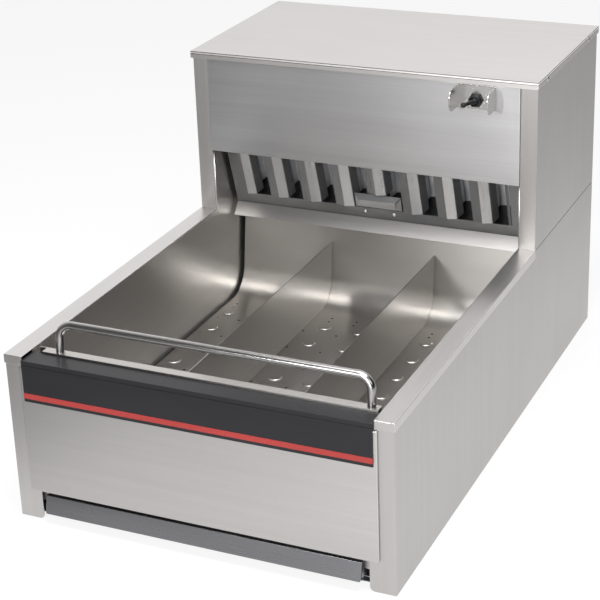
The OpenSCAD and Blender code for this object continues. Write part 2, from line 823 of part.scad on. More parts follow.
// Deck that parts the blower space from the duct
outlet_half = scroll_w / 2 - thin_t - 1;
outlet_front = wheel_y + 8;
outlet_back = wheel_y + scroll_r + scroll_grow;
module blower_deck() {
    x1 = bin_half - touch_gap;
    ledge_w = filter_t + seat_slack + sheet_t;
    ledge_v = (deck_z - filter_z - ledge_w * sin(filter_lean)) / cos(filter_lean);
    front = in_filter(ledge_w, ledge_v)[0] + fit_gap;
    back = rear_in - 1 - sheet_t;
    color(galvanised) from_front() difference() {
        box([-x1, front, deck_z], [x1, back, deck_z + sheet_t]);
        box([-outlet_half, outlet_front + 1, deck_z - 1], [outlet_half, outlet_back - 1, deck_z + sheet_t + 1]);
    }
}

// Side view of the scroll: a spiral from the tongue round to the rear, then down the outlet
function scroll_outline(g) = concat(
    [for (i = [0 : scroll_sides])
        let (a = 270 * (1 - i / scroll_sides), r = scroll_r + g + scroll_grow * i / scroll_sides)
        [wheel_y + r * cos(a), wheel_z + r * sin(a)]],
    [
        [outlet_back + g, deck_z + sheet_t],
        [outlet_front - g, deck_z + sheet_t],
        [outlet_front - g, wheel_z - scroll_r - g]
    ]);
module blower_housing() {
    t = thin_t;
    w = scroll_w / 2;
    color(galvanised) from_front() difference() {
        union() {
            across(-w, w) polygon(scroll_outline(t));
            box([-w - 8, outlet_front - 8, deck_z + sheet_t], [w + 8, outlet_back + t, deck_z + sheet_t + 2]);
        }
        across(-w + t, w - t) polygon(scroll_outline(0));
        translate([-w, wheel_y, wheel_z]) rotate([0, 90, 0])
            cylinder(r = wheel_d / 2 - 9, h = 4 * t, center = true, $fn = 96);
        translate([w, wheel_y, wheel_z]) rotate([0, 90, 0])
            cylinder(r = 12 + fit_gap, h = 4 * t, center = true);
    }
}

// Blower wheel: back plate and hub on the shaft, curved ring of blades, inlet ring
module blower_wheel() {
    w = wheel_w / 2;
    r = wheel_d / 2;
    color(galvanised) from_front() translate([0, wheel_y, wheel_z]) rotate([0, 90, 0]) difference() {
        union() {
            translate([0, 0, w - 1.5]) cylinder(r = r, h = 1.5, $fn = 96);
            translate([0, 0, -w]) difference() {
                cylinder(r = r, h = 3, $fn = 96);
                translate([0, 0, -1]) cylinder(r = r - 9, h = 5, $fn = 96);
            }
            translate([0, 0, w - 22]) cylinder(r = 11, h = 22);
            for (i = [0 : blade_count - 1]) rotate(i * 360 / blade_count)
                translate([r - 5, 0, -w + 1]) rotate(25)
                    translate([-4.2, -0.5, 0]) cube([8.4, 1, wheel_w - 2]);
        }
        translate([0, 0, w - 30]) cylinder(d = shaft_d, h = 40);
    }
}
module motor_shaft() {
    x0 = wheel_w / 2 - 26;
    color(steel) from_front() translate([x0, wheel_y, wheel_z]) rotate([0, 90, 0])
        cylinder(d = shaft_d, h = scroll_w / 2 + 46 - x0);
}
module blower_motor() {
    x0 = scroll_w / 2 + fit_gap;
    color(dark_steel) from_front() translate([x0, wheel_y, wheel_z]) rotate([0, 90, 0]) difference() {
        union() {
            translate([0, 0, 0]) cylinder(r = motor_d / 2, h = 3, $fn = 96);
            cylinder(r = motor_d / 2 - 6, h = 58, $fn = 96);
            translate([0, 0, 18]) cylinder(r = motor_d / 2, h = 24, $fn = 96);
            translate([0, 0, 58 - fine]) cylinder(r = 12, h = 6);
        }
        translate([0, 0, -1]) cylinder(r = shaft_d / 2 + bearing_gap, h = 48);
    }
}

// Duct that leads the air down past the heating elements
module air_duct() {
    t = thin_t;
    top = deck_z - touch_gap;
    color(galvanised) from_front() difference() {
        union() {
            box([-duct_half, duct_front, duct_foot], [duct_half, duct_back, top]);
            box([-duct_half - 10, duct_front - 10, top - t], [duct_half + 10, duct_back, top]);
        }
        box([-duct_half + t, duct_front + t, duct_foot - 1], [duct_half - t, duct_back - t, top + 1]);
        for (z = element_z(), y = element_leg_y())
            translate([duct_half, y, z]) rotate([0, 90, 0])
                cylinder(d = element_d + 2 * bearing_gap, h = 6 * t, center = true);
    }
}
function element_z() = [floor_h + 36, floor_h + 86];
function element_leg_y() = [element_y - element_r, element_y + element_r];
module heating_element(z) {
    bend_x = -duct_half + 45;
    end_x = duct_half + 14;
    color(dark_steel) from_front() {
        for (y = element_leg_y()) {
            translate([bend_x, y, z]) rotate([0, 90, 0]) cylinder(d = element_d, h = end_x - bend_x);
            translate([end_x - fine, y, z]) rotate([0, 90, 0]) cylinder(d = 3, h = 12, $fn = 24);
        }
        translate([bend_x, element_y, z]) rotate(90)
            rotate_extrude(angle = 180) translate([element_r, 0]) circle(d = element_d);
    }
}
module upper_heating_element() {
    heating_element(element_z()[1]);
}
module lower_heating_element() {
    heating_element(element_z()[0]);
}
module element_flange() {
    color(steel) from_front() difference() {
        box([duct_half, element_y - element_r - 14, element_z()[0] - 14],
            [duct_half + 2.5, element_y + element_r + 14, element_z()[1] + 14]);
        for (z = element_z(), y = element_leg_y())
            translate([duct_half, y, z]) rotate([0, 90, 0])
                cylinder(d = element_d + 2 * bearing_gap, h = 8, center = true);
    }
}
module high_limit_switch() {
    color(bakelite) from_front() translate([-duct_half, element_y, element_z()[1]]) rotate([0, -90, 0]) {
        cylinder(r = 12, h = 0.8);
        cylinder(r = 8, h = 9);
        for (x = [-4, 4]) translate([x - 0.4, -2.5, 8.9]) cube([0.8, 5, 8]);
    }
}

// Shelf that closes the control space above the filter
module control_shelf() {
    x1 = bin_half - touch_gap;
    t = sheet_t;
    color(galvanised) from_front() across(-x1, x1)
        folded([[hood_front + 3, shelf_z + 12], [hood_front + 3, shelf_z + t / 2],
            [shelf_back, shelf_z + t / 2], [shelf_back, cover_under - 1]], t);
}
module thermostat() {
    z0 = shelf_z + sheet_t;
    color(bakelite) from_front() translate([20, hood_front + 46, z0]) {
        translate([-20, -15, 0]) cube([40, 30, 24]);
        translate([0, 0, 24 - fine]) cylinder(r = 7, h = 6);
        for (x = [-12, 12]) translate([x - 3, 15 - fine, 8]) cube([6, 7, 0.8]);
    }
}
module terminal_block() {
    z0 = shelf_z + sheet_t;
    color(bakelite) from_front() translate([-90, hood_front + 46, z0]) {
        translate([-30, -11, 0]) cube([60, 22, 8]);
        for (i = [0 : 4]) translate([-30 + i * 14.5, -11, 8 - fine]) cube([2, 22, 8]);
        for (i = [0 : 3]) translate([-21.75 + i * 14.5, 0, 8 - fine]) cylinder(r = 4, h = 4);
    }
}

// Guard plate with two ears, which the switch's bushing clamps to the access panel
module bushing_hole() {
    translate([switch_x, access_front, switch_z]) rotate([90, 0, 0])
        cylinder(r = bushing_r + bearing_gap, h = 12, center = true);
}
module guard_ear() {
    r = guard_corner_r;
    top = switch_z + 17.5;
    foot = switch_z - 10.5;
    front = access_front - guard_reach;
    translate([front + r, foot]) square([guard_reach - r, top - foot]);
    translate([front, foot + r]) square([r + fine, top - foot - 2 * r]);
    for (z = [foot + r, top - r]) translate([front + r, z]) circle(r = r, $fn = 64);
}
module switch_guard() {
    x0 = switch_x - guard_w / 2;
    x1 = switch_x + guard_w / 2;
    color(steel) from_front() difference() {
        union() {
            box([x0, guard_face, switch_z - 11.5], [x1, access_front, switch_z + 18.5]);
            across(x0, x0 + guard_t) guard_ear();
            across(x1 - guard_t, x1) guard_ear();
        }
        bushing_hole();
    }
}

// Switch body behind its nut, with a hollow bushing through panel and guard
bushing_r = 6;
bushing_out = 2;
switch_nut_h = 2.2;
module toggle_switch() {
    back = switch_nut_h + fit_gap;
    color(bakelite) from_front() translate([switch_x, access_front + sheet_t, switch_z]) difference() {
        union() {
            translate([-15, back, -9]) cube([30, 24, 18]);
            translate([0, back + 1, 0]) rotate([90, 0, 0])
                cylinder(r = bushing_r, h = back + 1 + sheet_t + guard_t + bushing_out);
            for (x = [-9, 0, 9]) translate([x - 0.5, back + 23, -3]) cube([1, 9, 6]);
        }
        rotate([90, 0, 0]) cylinder(r = 3.2, h = 20);
    }
}
module switch_nut() {
    color(brass) from_front() translate([switch_x, access_front + sheet_t, switch_z]) rotate([-90, 0, 0])
        difference() {
            cylinder(r = 8.6, h = switch_nut_h, $fn = 6);
            translate([0, 0, -1]) cylinder(r = bushing_r + bearing_gap, h = 5);
        }
}

// Rubber boot with a six sided foot, and the lever with its ball in the boot
boot_ball_r = 5;
boot_foot_h = 3.2;
boot_h = 8;
module toggle_boot() {
    color(rubber) from_front() translate([switch_x, guard_face, switch_z]) rotate([90, 0, 0]) difference() {
        union() {
            cylinder(r = 9.6, h = boot_foot_h, $fn = 6);
            translate([0, 0, boot_foot_h - fine]) cylinder(r1 = 8.2, r2 = 6.3, h = boot_h - boot_foot_h);
        }
        translate([0, 0, -1]) cylinder(r = bushing_r + bearing_gap, h = 1 + bushing_out + fit_gap);
        translate([0, 0, 1]) cylinder(r = boot_ball_r + fit_gap, h = boot_h);
    }
}
module toggle_lever() {
    ball_flat = 0.4;
    color(rubber) from_front() translate([switch_x, pivot_y, switch_z]) rotate([0, 0, -lever_tilt])
        rotate([90, 0, 0]) union() {
            intersection() {
                sphere(r = boot_ball_r, $fn = 64);
                translate([0, 0, 20 - ball_flat]) cube(40, center = true);
            }
            cylinder(r1 = 3.4, r2 = 2.1, h = lever_len - 2, $fn = 32);
            translate([0, 0, lever_len - 2.6]) sphere(r = 3.3, $fn = 48);
        }
}

// Cord gland in the rear panel and its locknut inside
module cord_gland() {
    r = gland_bore_r;
    color(black) from_front() translate([gland_x, body_d, gland_z]) rotate([-90, 0, 0]) difference() {
        union() {
            translate([0, 0, -12]) cylinder(r = r + 3, h = 12 + fine);
            cylinder(r = r + 6.5, h = 5, $fn = 6);
            translate([0, 0, 5 - fine]) cylinder(r1 = r + 5, r2 = r + 3, h = gland_reach - 5 + fine);
        }
        translate([0, 0, -13]) cylinder(r = r, h = gland_reach + 14);
    }
}
module cord_gland_nut() {
    r = gland_bore_r;
    color(black) from_front() translate([gland_x, rear_in - 5, gland_z]) rotate([-90, 0, 0]) difference() {
        cylinder(r = r + 6.5, h = 5, $fn = 6);
        translate([0, 0, -1]) cylinder(r = r + 3 + bearing_gap, h = 7);
    }
}

left_side_panel();
right_side_panel();
left_deck_cap();
right_deck_cap();
base_pan();
front_cross_rail();
front_panel();
fascia();
fascia_stripe();
guard_rail();
guard_rail_nuts();
left_bin_wall();
right_bin_wall();
food_pan();
left_pan_rail();
right_pan_rail();
left_divider();
right_divider();
drip_ledge();
crumb_tray();
left_tray_runner();
right_tray_runner();
hood_left_side();
hood_right_side();
hood_cover();
cover_screws();
access_panel();
body_rear_panel();
hood_rear_panel();
rear_screws();
filter_frame();
filter_front_baffles();
filter_rear_baffles();
filter_handle();
filter_rivets();
filter_top_channel();
blower_deck();
blower_housing();
blower_wheel();
motor_shaft();
blower_motor();
air_duct();
upper_heating_element();
lower_heating_element();
element_flange();
high_limit_switch();
control_shelf();
thermostat();
terminal_block();
switch_guard();
toggle_switch();
switch_nut();
toggle_boot();
toggle_lever();
cord_gland();
cord_gland_nut();
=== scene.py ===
import math

import bmesh
import bpy
from bpy.props import (BoolProperty, FloatProperty, FloatVectorProperty, IntProperty,
                       PointerProperty)
from bpy.types import Operator, Panel, PropertyGroup
from mathutils import Matrix, Vector


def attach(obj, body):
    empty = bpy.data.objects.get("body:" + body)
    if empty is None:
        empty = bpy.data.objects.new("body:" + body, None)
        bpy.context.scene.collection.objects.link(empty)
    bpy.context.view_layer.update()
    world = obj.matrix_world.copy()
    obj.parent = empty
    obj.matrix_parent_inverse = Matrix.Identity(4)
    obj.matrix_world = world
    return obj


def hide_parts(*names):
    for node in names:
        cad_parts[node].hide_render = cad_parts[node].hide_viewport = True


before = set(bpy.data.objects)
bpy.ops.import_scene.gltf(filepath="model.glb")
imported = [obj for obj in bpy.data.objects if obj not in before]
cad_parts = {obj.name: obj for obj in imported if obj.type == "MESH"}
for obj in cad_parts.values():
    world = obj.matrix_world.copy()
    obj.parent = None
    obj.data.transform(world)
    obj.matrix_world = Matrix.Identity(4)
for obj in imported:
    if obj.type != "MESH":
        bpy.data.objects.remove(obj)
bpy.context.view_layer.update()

bl_info = {
    "name": "Countertop chip warmer",
    "version": (1, 0, 0),
    "blender": (4, 5, 0),
    "location": "3D View > Sidebar > Chip warmer",
    "description": "Finishes the chip warmer's sheet metal, filter, switch and studio",
    "category": "Object",
}

MM = 0.001

# Places and sizes on the part, in millimetres

# The pan's floor, its louvres and the faces inside its vent holes
PAN_FLOOR, PAN_SHEET, PAN_HALF = 64.0, 1.2, 195.0
LOUVRE_RADIUS, LOUVRE_RISE, LOUVRE_SLOPE = 9.0, 1.6, 1.5
LOUVRE_TOP_SPARE, LOUVRE_RIM_SPARE, FLOOR_SPARE = 0.02, 0.1, 0.01
HOLE_FACE_AREA = 1.5

# The filter's frame, and its baffles' section as sideways places and depths
FILTER_LEAN = math.radians(17.2)
FILTER_PLACE = (0.0, 158.65, 194.0)
BAFFLE_SECTION = ((-17, 14), (-13, 0.5), (0, -2.5), (13, 0.5), (17, 14))
BAFFLE_WHOLE = 99
BAFFLE_SHIFT, BAFFLE_FOOT, BAFFLE_TOP = 4.0, 19.3, 120.7
WINDOW_HALF, REAR_DEPTH, HANDLE_CLEAR = 184.3, 39.0, 43.3

# Behind this the crumb tray is plain; before it is the pull
PULL_BACK = -352.0

# The guard rail and its threaded studs
RAIL_LEFT, RAIL_RIGHT, RAIL_BACK, RAIL_FOOT, RAIL_RISE = -175.0, 195.0, -346.65, 203.0, 33.182
RAIL_LEAN, BEND_STEPS = math.radians(6), 24
STUD_LENGTH, STUD_RADIUS, STUD_ROOT, STUD_THREAD = 7.2, 2.5, 2.15, 0.8

# The switch: profiles are radii and heights
BOOT_PLACE = (154.0, 99.55, 391.5)
BOOT_CORNER, BOOT_CONE = 9.6, 8.2
BOOT_PROFILE = ((6.25, 0.0), (9.3, 0.0), (9.6, 0.3), (9.6, 2.2), (9.52, 2.58), (9.3, 2.9),
                (8.98, 3.12), (8.6, 3.2), (8.2, 3.2), (6.5, 7.5), (6.35, 7.76), (6.1, 7.94),
                (5.8, 7.99), (5.5, 7.93), (5.35, 7.75), (5.3, 7.5), (5.3, 2.3), (6.05, 2.3),
                (6.05, 0.2))
LEVER_PLACE = (154.0, 94.55, 391.5)
LEVER_TILT = math.radians(22)
LEVER_BALL, LEVER_FLAT, LEVER_TIP, LEVER_TIP_HEIGHT = 4.88, 0.4, 3.3, 20.6
LEVER_STEM = ((3.1, 4.6), (2.95, 6), (2.8, 8.5), (2.6, 11.5), (2.4, 14.5), (2.3, 17.0),
              (2.45, 18.0), (2.8, 18.8))
MARKS_PLACE = (154.0, 99.53, 393.5)
MARK_REACH, MARK_RADIUS, MARK_WIDTH, MARK_DEPTH, RING_SIDES = 14.2, 1.5, 0.35, 0.02, 40

# The blower wheel: its plates, and its blades' curve
WHEEL_PLACE = (0.0, 271.75, 290.0)
WHEEL_WIDTH, WHEEL_RADIUS, WHEEL_BORE, WHEEL_HUB, WHEEL_SIDES = 56.0, 52.0, 4.0, 11.0, 72
HUB_LENGTH, BACK_SHEET, INLET_RING, INLET_DEPTH, BLADE_INSET = 22.0, 1.5, 9.0, 3.0, 5.0
BLADE_CHORD, BLADE_CAMBER, BLADE_SLANT, BLADE_STEPS = 4.2, 0.9, math.radians(25), 8

# The lines painted under the cover's hem, painted shade above and below a painted highlight on
# the fold: how far below its top, how deep, and how bright each is
COVER_TOP = 420.0
HEM_SHADE_AND_HIGHLIGHT_LINES = ((0.4, 1.0, 0.25), (1.9, 1.9, 1.7), (3.3, 0.9, 0.35))

# Points nearer than these are merged, flat and folded edges are told by their angle
MERGE, SLIVER = 0.002, 0.004
FLAT_ANGLE, FOLD_ANGLE = math.radians(0.6), math.radians(35)

BRUSH_AXES = {"x": (1, 0, 0), "y": (0, 1, 0), "z": (0, 0, 1)}

# The moving bodies and their nodes; every other node is on the cabinet
MOVING = {
    "filter": ("filter_frame", "filter_front_baffles", "filter_rear_baffles",
               "filter_handle", "filter_rivets"),
    "crumb_tray": ("crumb_tray",),
    "left_divider": ("left_divider",),
    "right_divider": ("right_divider",),
    "blower_rotor": ("blower_wheel", "motor_shaft"),
    "toggle_lever": ("toggle_lever",),
}


def colour_prop(name, value, description):
    return FloatVectorProperty(name=name, description=description, subtype="COLOR", size=3,
                               min=0.0, max=1.0, default=value)


def length_prop(name, value, description):
    return FloatProperty(name=name, description=description, default=value, min=0.0,
                         unit="LENGTH", subtype="DISTANCE", precision=5)


def level_prop(name, value, description, high=4.0):
    return FloatProperty(name=name, description=description, default=value, min=0.0, max=high)


class WarmerSizes(PropertyGroup):
    fold_radius: length_prop("Fold radius", 1.15 * MM, "Outside radius of a folded sheet")
    cut_radius: length_prop("Cut edge radius", 0.16 * MM, "Rounding of a sheet's cut edge")
    enamel_radius: length_prop("Enamel edge radius", 1.4 * MM, "Rounding of the fascia's folds")
    rod_radius: length_prop("Rod radius", 4.75 * MM, "Radius of the guard rail's rod")
    rod_bend: length_prop("Rod bend", 16 * MM, "Bend radius of the rod's middle line")
    screw_radius: length_prop("Screw head radius", 3.6 * MM, "Radius of the domed screw heads")
    screw_height: length_prop("Screw head height", 2.0 * MM, "Height of the domed screw heads")
    recess_depth: length_prop("Recess depth", 1.1 * MM, "Depth of the screws' cross recess")
    recess_length: length_prop("Recess length", 3.4 * MM, "Length of each slot of the recess")
    recess_width: length_prop("Recess width", 0.75 * MM, "Width of each slot of the recess")
    rivet_radius: length_prop("Rivet head radius", 2.8 * MM, "Radius of the filter's rivets")
    rivet_height: length_prop("Rivet head height", 1.6 * MM, "Height of the filter's rivets")
    baffle_pitch: length_prop("Baffle pitch", 47.4 * MM, "Spacing of the filter's baffles")
    baffle_sheet: length_prop("Baffle sheet", 0.8 * MM, "Sheet thickness of the baffles")
    baffle_fold: length_prop("Baffle fold radius", 1.3 * MM, "Bend radius of the baffles' sheet")
    blade_count: IntProperty(name="Blades", description="Blades on the blower wheel",
                             default=28, min=8, max=60)
    blade_sheet: length_prop("Blade sheet", 0.8 * MM, "Sheet thickness of the wheel's blades")


class WarmerColours(PropertyGroup):
    outer_steel: colour_prop("Outer steel", (0.52, 0.505, 0.495), "Brushed sheet outside")
    hood_steel: colour_prop("Hood steel", (0.50, 0.495, 0.50), "Brushed sheet of the hood's face")
    liner_steel: colour_prop("Liner steel", (0.57, 0.55, 0.525), "Polished sheet inside")
    # The rod is kept dark: painted shade for the dark surroundings it reflects
    rod_steel: colour_prop("Rod steel", (0.42, 0.412, 0.405), "Polished rod")
    filter_steel: colour_prop("Filter steel", (0.47, 0.475, 0.485), "Plain sheet of the filter")
    # The pull is painted dark: painted shade for the dark surroundings it reflects
    pull_steel: colour_prop("Pull steel", (0.21, 0.21, 0.22), "Handled sheet of the tray's pull")
    galvanised: colour_prop("Galvanised", (0.50, 0.52, 0.53), "Zinc coated inner sheet")
    fascia_black: colour_prop("Fascia black", (0.012, 0.012, 0.014), "Black satin enamel")
    stripe_red: colour_prop("Stripe red", (0.25, 0.026, 0.023), "Red satin enamel")
    rubber: colour_prop("Rubber", (0.010, 0.010, 0.011), "Moulded rubber")


class WarmerStage(PropertyGroup):
    floor_tone: level_prop("Floor tone", 0.86, "Lightness of the plain floor", 1.0)
    floor_glow: level_prop("Floor whitening", 0.85,
                           "Share of plain white in the floor as it is seen", 1.0)
    # How far the floor's glow is painted down past each edge: painted shade that only the metal
    # sees
    front_left_floor: level_prop("Front left floor", 0.07,
                                 "Lightness of the floor past the left edge")
    front_right_floor: level_prop("Front right floor", 1.0,
                                  "Lightness of the floor past the front edge")
    right_floor: level_prop("Right floor", 0.66, "Lightness of the floor past the right edge")
    room: level_prop("Room light", 0.0, "Strength of the even room light")
    rear_glow: level_prop("Rear light", 1.18, "Light of the pale wall behind")
    left_glow: level_prop("Left light", 0.35, "Light of the room on the left")
    overhead_lamps: level_prop("Overhead lamps", 1.0, "Level of the lamps above")
    front_lamps: level_prop("Front lamps", 1.0, "Level of the lamps in front")
    side_lamps: level_prop("Side lamps", 1.0, "Level of the lamps on the right")
    show_floor: BoolProperty(name="Floor", description="Stand the warmer on a floor",
                             default=True)


# Materials

class Graph:
    """The node tree of a material or a world, built from short calls."""

    def __init__(self, owner):
        self.owner = owner
        owner.use_nodes = True
        self.tree = owner.node_tree
        self.tree.nodes.clear()

    def add(self, kind, sockets=None, **settings):
        node = self.tree.nodes.new("ShaderNode" + kind)
        for key, value in settings.items():
            setattr(node, key, value)
        for key, value in (sockets or {}).items():
            self.put(node.inputs[key], value)
        return node

    def put(self, socket, value):
        if isinstance(value, bpy.types.NodeSocket):
            self.tree.links.new(value, socket)
        else:
            socket.default_value = value

    def math(self, operation, a, b=0.0, c=0.0):
        node = self.add("Math", operation=operation)
        for socket, value in zip(node.inputs, (a, b, c)):
            self.put(socket, value)
        return node.outputs[0]

    def mix(self, factor, a, b):
        node = self.add("Mix", data_type="RGBA")
        for index, value in ((0, factor), (6, a), (7, b)):
            self.put(node.inputs[index], value)
        return node.outputs[2]

    def remap(self, value, low, high, to_low=0.0, to_high=1.0):
        node = self.add("MapRange", {0: value, 1: low, 2: high, 3: to_low, 4: to_high})
        return node.outputs[0]

    def noise(self, vector, scale, detail, rough, distortion=0.0):
        node = self.add("TexNoise", {"Vector": vector, "Scale": scale, "Detail": detail,
                                     "Roughness": rough, "Distortion": distortion})
        return node.outputs[0]

    def place(self, stretch=(1.0, 1.0, 1.0), lean=0.0):
        """Position on the part, straightened where the piece leans, then stretched."""
        here = self.add("TexCoord").outputs["Object"]
        if lean:
            here = self.add("Mapping", {"Vector": here, "Rotation": (-lean, 0.0, 0.0)}).outputs[0]
        return self.add("Mapping", {"Vector": here, "Scale": stretch}).outputs[0]

    def attribute(self, name):
        return self.add("Attribute", attribute_name=name,
                        attribute_type="GEOMETRY").outputs["Fac"]

    def finish(self, shader, output="OutputMaterial"):
        self.add(output, {"Surface": shader.outputs[0]})
        return self.owner

    def dress(self, paint, gloss, bump, others):
        """Ends the tree in one shader: bump is its strength, its depth and the height."""
        relief = self.add("Bump", dict(zip(("Strength", "Distance", "Height"), bump)))
        return self.finish(self.add("BsdfPrincipled", {
            "Base Color": paint, "Roughness": gloss, "Normal": relief.outputs[0], **others}))


def rgba(colour, factor=1.0):
    return tuple(min(1.0, channel * factor) for channel in colour) + (1.0,)


def brushed(name, colour, rough, grain="x", contrast=0.5, smudge=0.5, spread=0.45, relief=0.5,
            lean=0.0, metal=1.0, hem=None):
    """Brushed sheet: long streaks, soft handling marks, hairlines, and brighter edges, partly
    rubbed and partly a painted highlight.

    The last argument is the height of a folded top edge, on which a dark, a bright and a dark
    line are painted: painted shade on each side of a painted highlight.
    """
    g = Graph(bpy.data.materials.new(name))

    def lines(along, across, detail, roughness):
        stretch = tuple(along if axis else across for axis in BRUSH_AXES[grain])
        return g.noise(g.place(stretch, lean), 1.0, detail, roughness)

    streaks, bands = lines(7, 820, 4.0, 0.62), lines(2.2, 95, 3.0, 0.55)
    hairs = g.remap(lines(16, 2600, 2.0, 0.5), 0.66, 0.78)
    marks = g.noise(g.place(), 7.5, 4.0, 0.55, 0.35)
    prints = g.noise(g.place(), 38.0, 3.0, 0.6, 0.8)
    prints = g.math("MULTIPLY", g.remap(prints, 0.56, 0.74), g.remap(marks, 0.45, 0.65))
    tone = g.math("MULTIPLY_ADD", streaks, 0.55, g.math("MULTIPLY", bands, 0.45))
    low, high = rgba(colour, 1 - 0.16 * contrast), rgba(colour, 1 + 0.13 * contrast)
    paint = g.mix(g.remap(tone, 0.3, 0.7), low, high)
    paint = g.mix(g.remap(marks, 0.3, 0.75, 0.0, 0.35 * smudge), paint, rgba(colour, 0.86))
    paint = g.mix(g.math("MULTIPLY", hairs, 0.25 * contrast), paint, rgba(colour, 1.3))
    # Marked edges and louvre rims are made paler: partly rubbed, partly a painted highlight
    rub_and_painted_highlight = g.attribute("edge_wear")
    paint = g.mix(g.math("MULTIPLY", rub_and_painted_highlight, 0.45), paint, rgba(colour, 1.28))
    # Faces marked at their sides are darkened: painted shade, as on the switch guard's ears
    paint = g.mix(g.attribute("face_shade"), paint, rgba(colour, 0.3))
    # The hem's lines: painted shade in the two dark ones, a painted highlight in the bright one
    if hem:
        here = g.add("TexCoord").outputs["Object"]
        height = g.add("SeparateXYZ", {0: here}).outputs["Z"]
        facing = g.add("SeparateXYZ", {0: g.add("NewGeometry").outputs["Normal"]})
        flange = g.math("LESS_THAN", facing.outputs["Z"], 0.95)
        for below, deep, level in HEM_SHADE_AND_HIGHLIGHT_LINES:
            middle = g.math("SUBTRACT", height, hem - below * MM)
            line = g.math("LESS_THAN", g.math("ABSOLUTE", middle), deep * MM / 2)
            paint = g.mix(g.math("MULTIPLY", line, flange), paint, rgba(colour, level))
    gloss = g.math("MULTIPLY_ADD", tone, 0.16 * contrast, rough - 0.08 * contrast)
    gloss = g.math("ADD", gloss, g.remap(marks, 0.3, 0.75, -0.02 * smudge, 0.035 * smudge))
    gloss = g.math("MULTIPLY_ADD", prints, 0.05 * smudge, gloss)
    gloss = g.math("MULTIPLY_ADD", rub_and_painted_highlight, -0.07, gloss)
    side = g.add("Tangent", direction_type="UV_MAP", uv_map="grain")
    return g.dress(paint, gloss, (0.35 * relief, 0.00012, tone), {
        "Metallic": metal, "Anisotropic": spread, "Tangent": side.outputs[0]})


def zinc(name, colour):
    """Galvanised sheet: a dull patchwork of zinc crystals."""
    g = Graph(bpy.data.materials.new(name))
    cells = g.add("TexVoronoi", {"Vector": g.place(), "Scale": 130.0, "Randomness": 1.0},
                  feature="F1")
    shade = g.add("SeparateColor", {0: cells.outputs["Color"]}).outputs[0]
    cloud = g.noise(g.place(), 16.0, 4.0, 0.6)
    paint = g.mix(g.remap(shade, 0.0, 1.0, 0.0, 0.7), rgba(colour, 0.84), rgba(colour, 1.12))
    paint = g.mix(g.remap(cloud, 0.35, 0.75, 0.0, 0.5), paint, rgba(colour, 0.75))
    gloss = g.math("MULTIPLY_ADD", shade, 0.16, 0.36)
    return g.dress(paint, gloss, (0.12, 0.0002, cloud), {"Metallic": 1.0})


def enamel(name, colour, rough=0.36, texture=0.35, shine=0.25):
    """Satin enamel with a fine orange peel, and paler edges, partly rubbed and partly a painted
    highlight.
    """
    g = Graph(bpy.data.materials.new(name))
    peel = g.noise(g.place(), 620.0, 3.0, 0.5)
    cloud = g.noise(g.place((3, 14, 14)), 2.2, 4.0, 0.6)
    rub_and_painted_highlight = g.attribute("edge_wear")
    paint = g.mix(g.remap(cloud, 0.3, 0.75), rgba(colour, 0.88), rgba(colour, 1.12))
    rubbed = rgba([1.5 * channel + 0.012 for channel in colour])
    paint = g.mix(g.math("MULTIPLY", rub_and_painted_highlight, 0.5), paint, rubbed)
    gloss = g.math("MULTIPLY_ADD", cloud, 0.12, rough - 0.06)
    gloss = g.math("MULTIPLY_ADD", rub_and_painted_highlight, -0.05, gloss)
    return g.dress(paint, gloss, (texture, 0.00003, peel), {"Specular IOR Level": shine})


def moulded(name, colour, rough):
    """Moulded rubber or plastic: matt, faintly grained, paler at its marked edges, partly where
    it is handled and partly as a painted highlight.
    """
    g = Graph(bpy.data.materials.new(name))
    fine = g.noise(g.place(), 240.0, 4.0, 0.6)
    cloud = g.noise(g.place(), 45.0, 3.0, 0.5)
    rub_and_painted_highlight = g.attribute("edge_wear")
    paint = g.mix(g.remap(cloud, 0.3, 0.7), rgba(colour, 0.85), rgba(colour, 1.2))
    paint = g.mix(g.math("MULTIPLY", rub_and_painted_highlight, 0.4), paint, rgba(colour, 1.8))
    gloss = g.math("MULTIPLY_ADD", fine, 0.18, rough - 0.09)
    return g.dress(paint, gloss, (0.25, 0.0001, fine), {"Specular IOR Level": 0.3})


def plated(name, colour, rough):
    """Small plated hardware: bright with dull specks."""
    g = Graph(bpy.data.materials.new(name))
    specks = g.noise(g.place(), 900.0, 3.0, 0.6)
    cloud = g.noise(g.place(), 120.0, 2.0, 0.5)
    # Marked edges are made paler: partly rubbed, partly a painted highlight
    rub_and_painted_highlight = g.attribute("edge_wear")
    paint = g.mix(g.remap(specks, 0.3, 0.75), rgba(colour, 0.85), rgba(colour, 1.12))
    paint = g.mix(g.math("MULTIPLY", rub_and_painted_highlight, 0.4), paint, rgba(colour, 1.3))
    gloss = g.math("MULTIPLY_ADD", cloud, 0.2, rough - 0.1)
    return g.dress(paint, gloss, (0.15, 0.00005, specks), {"Metallic": 1.0})
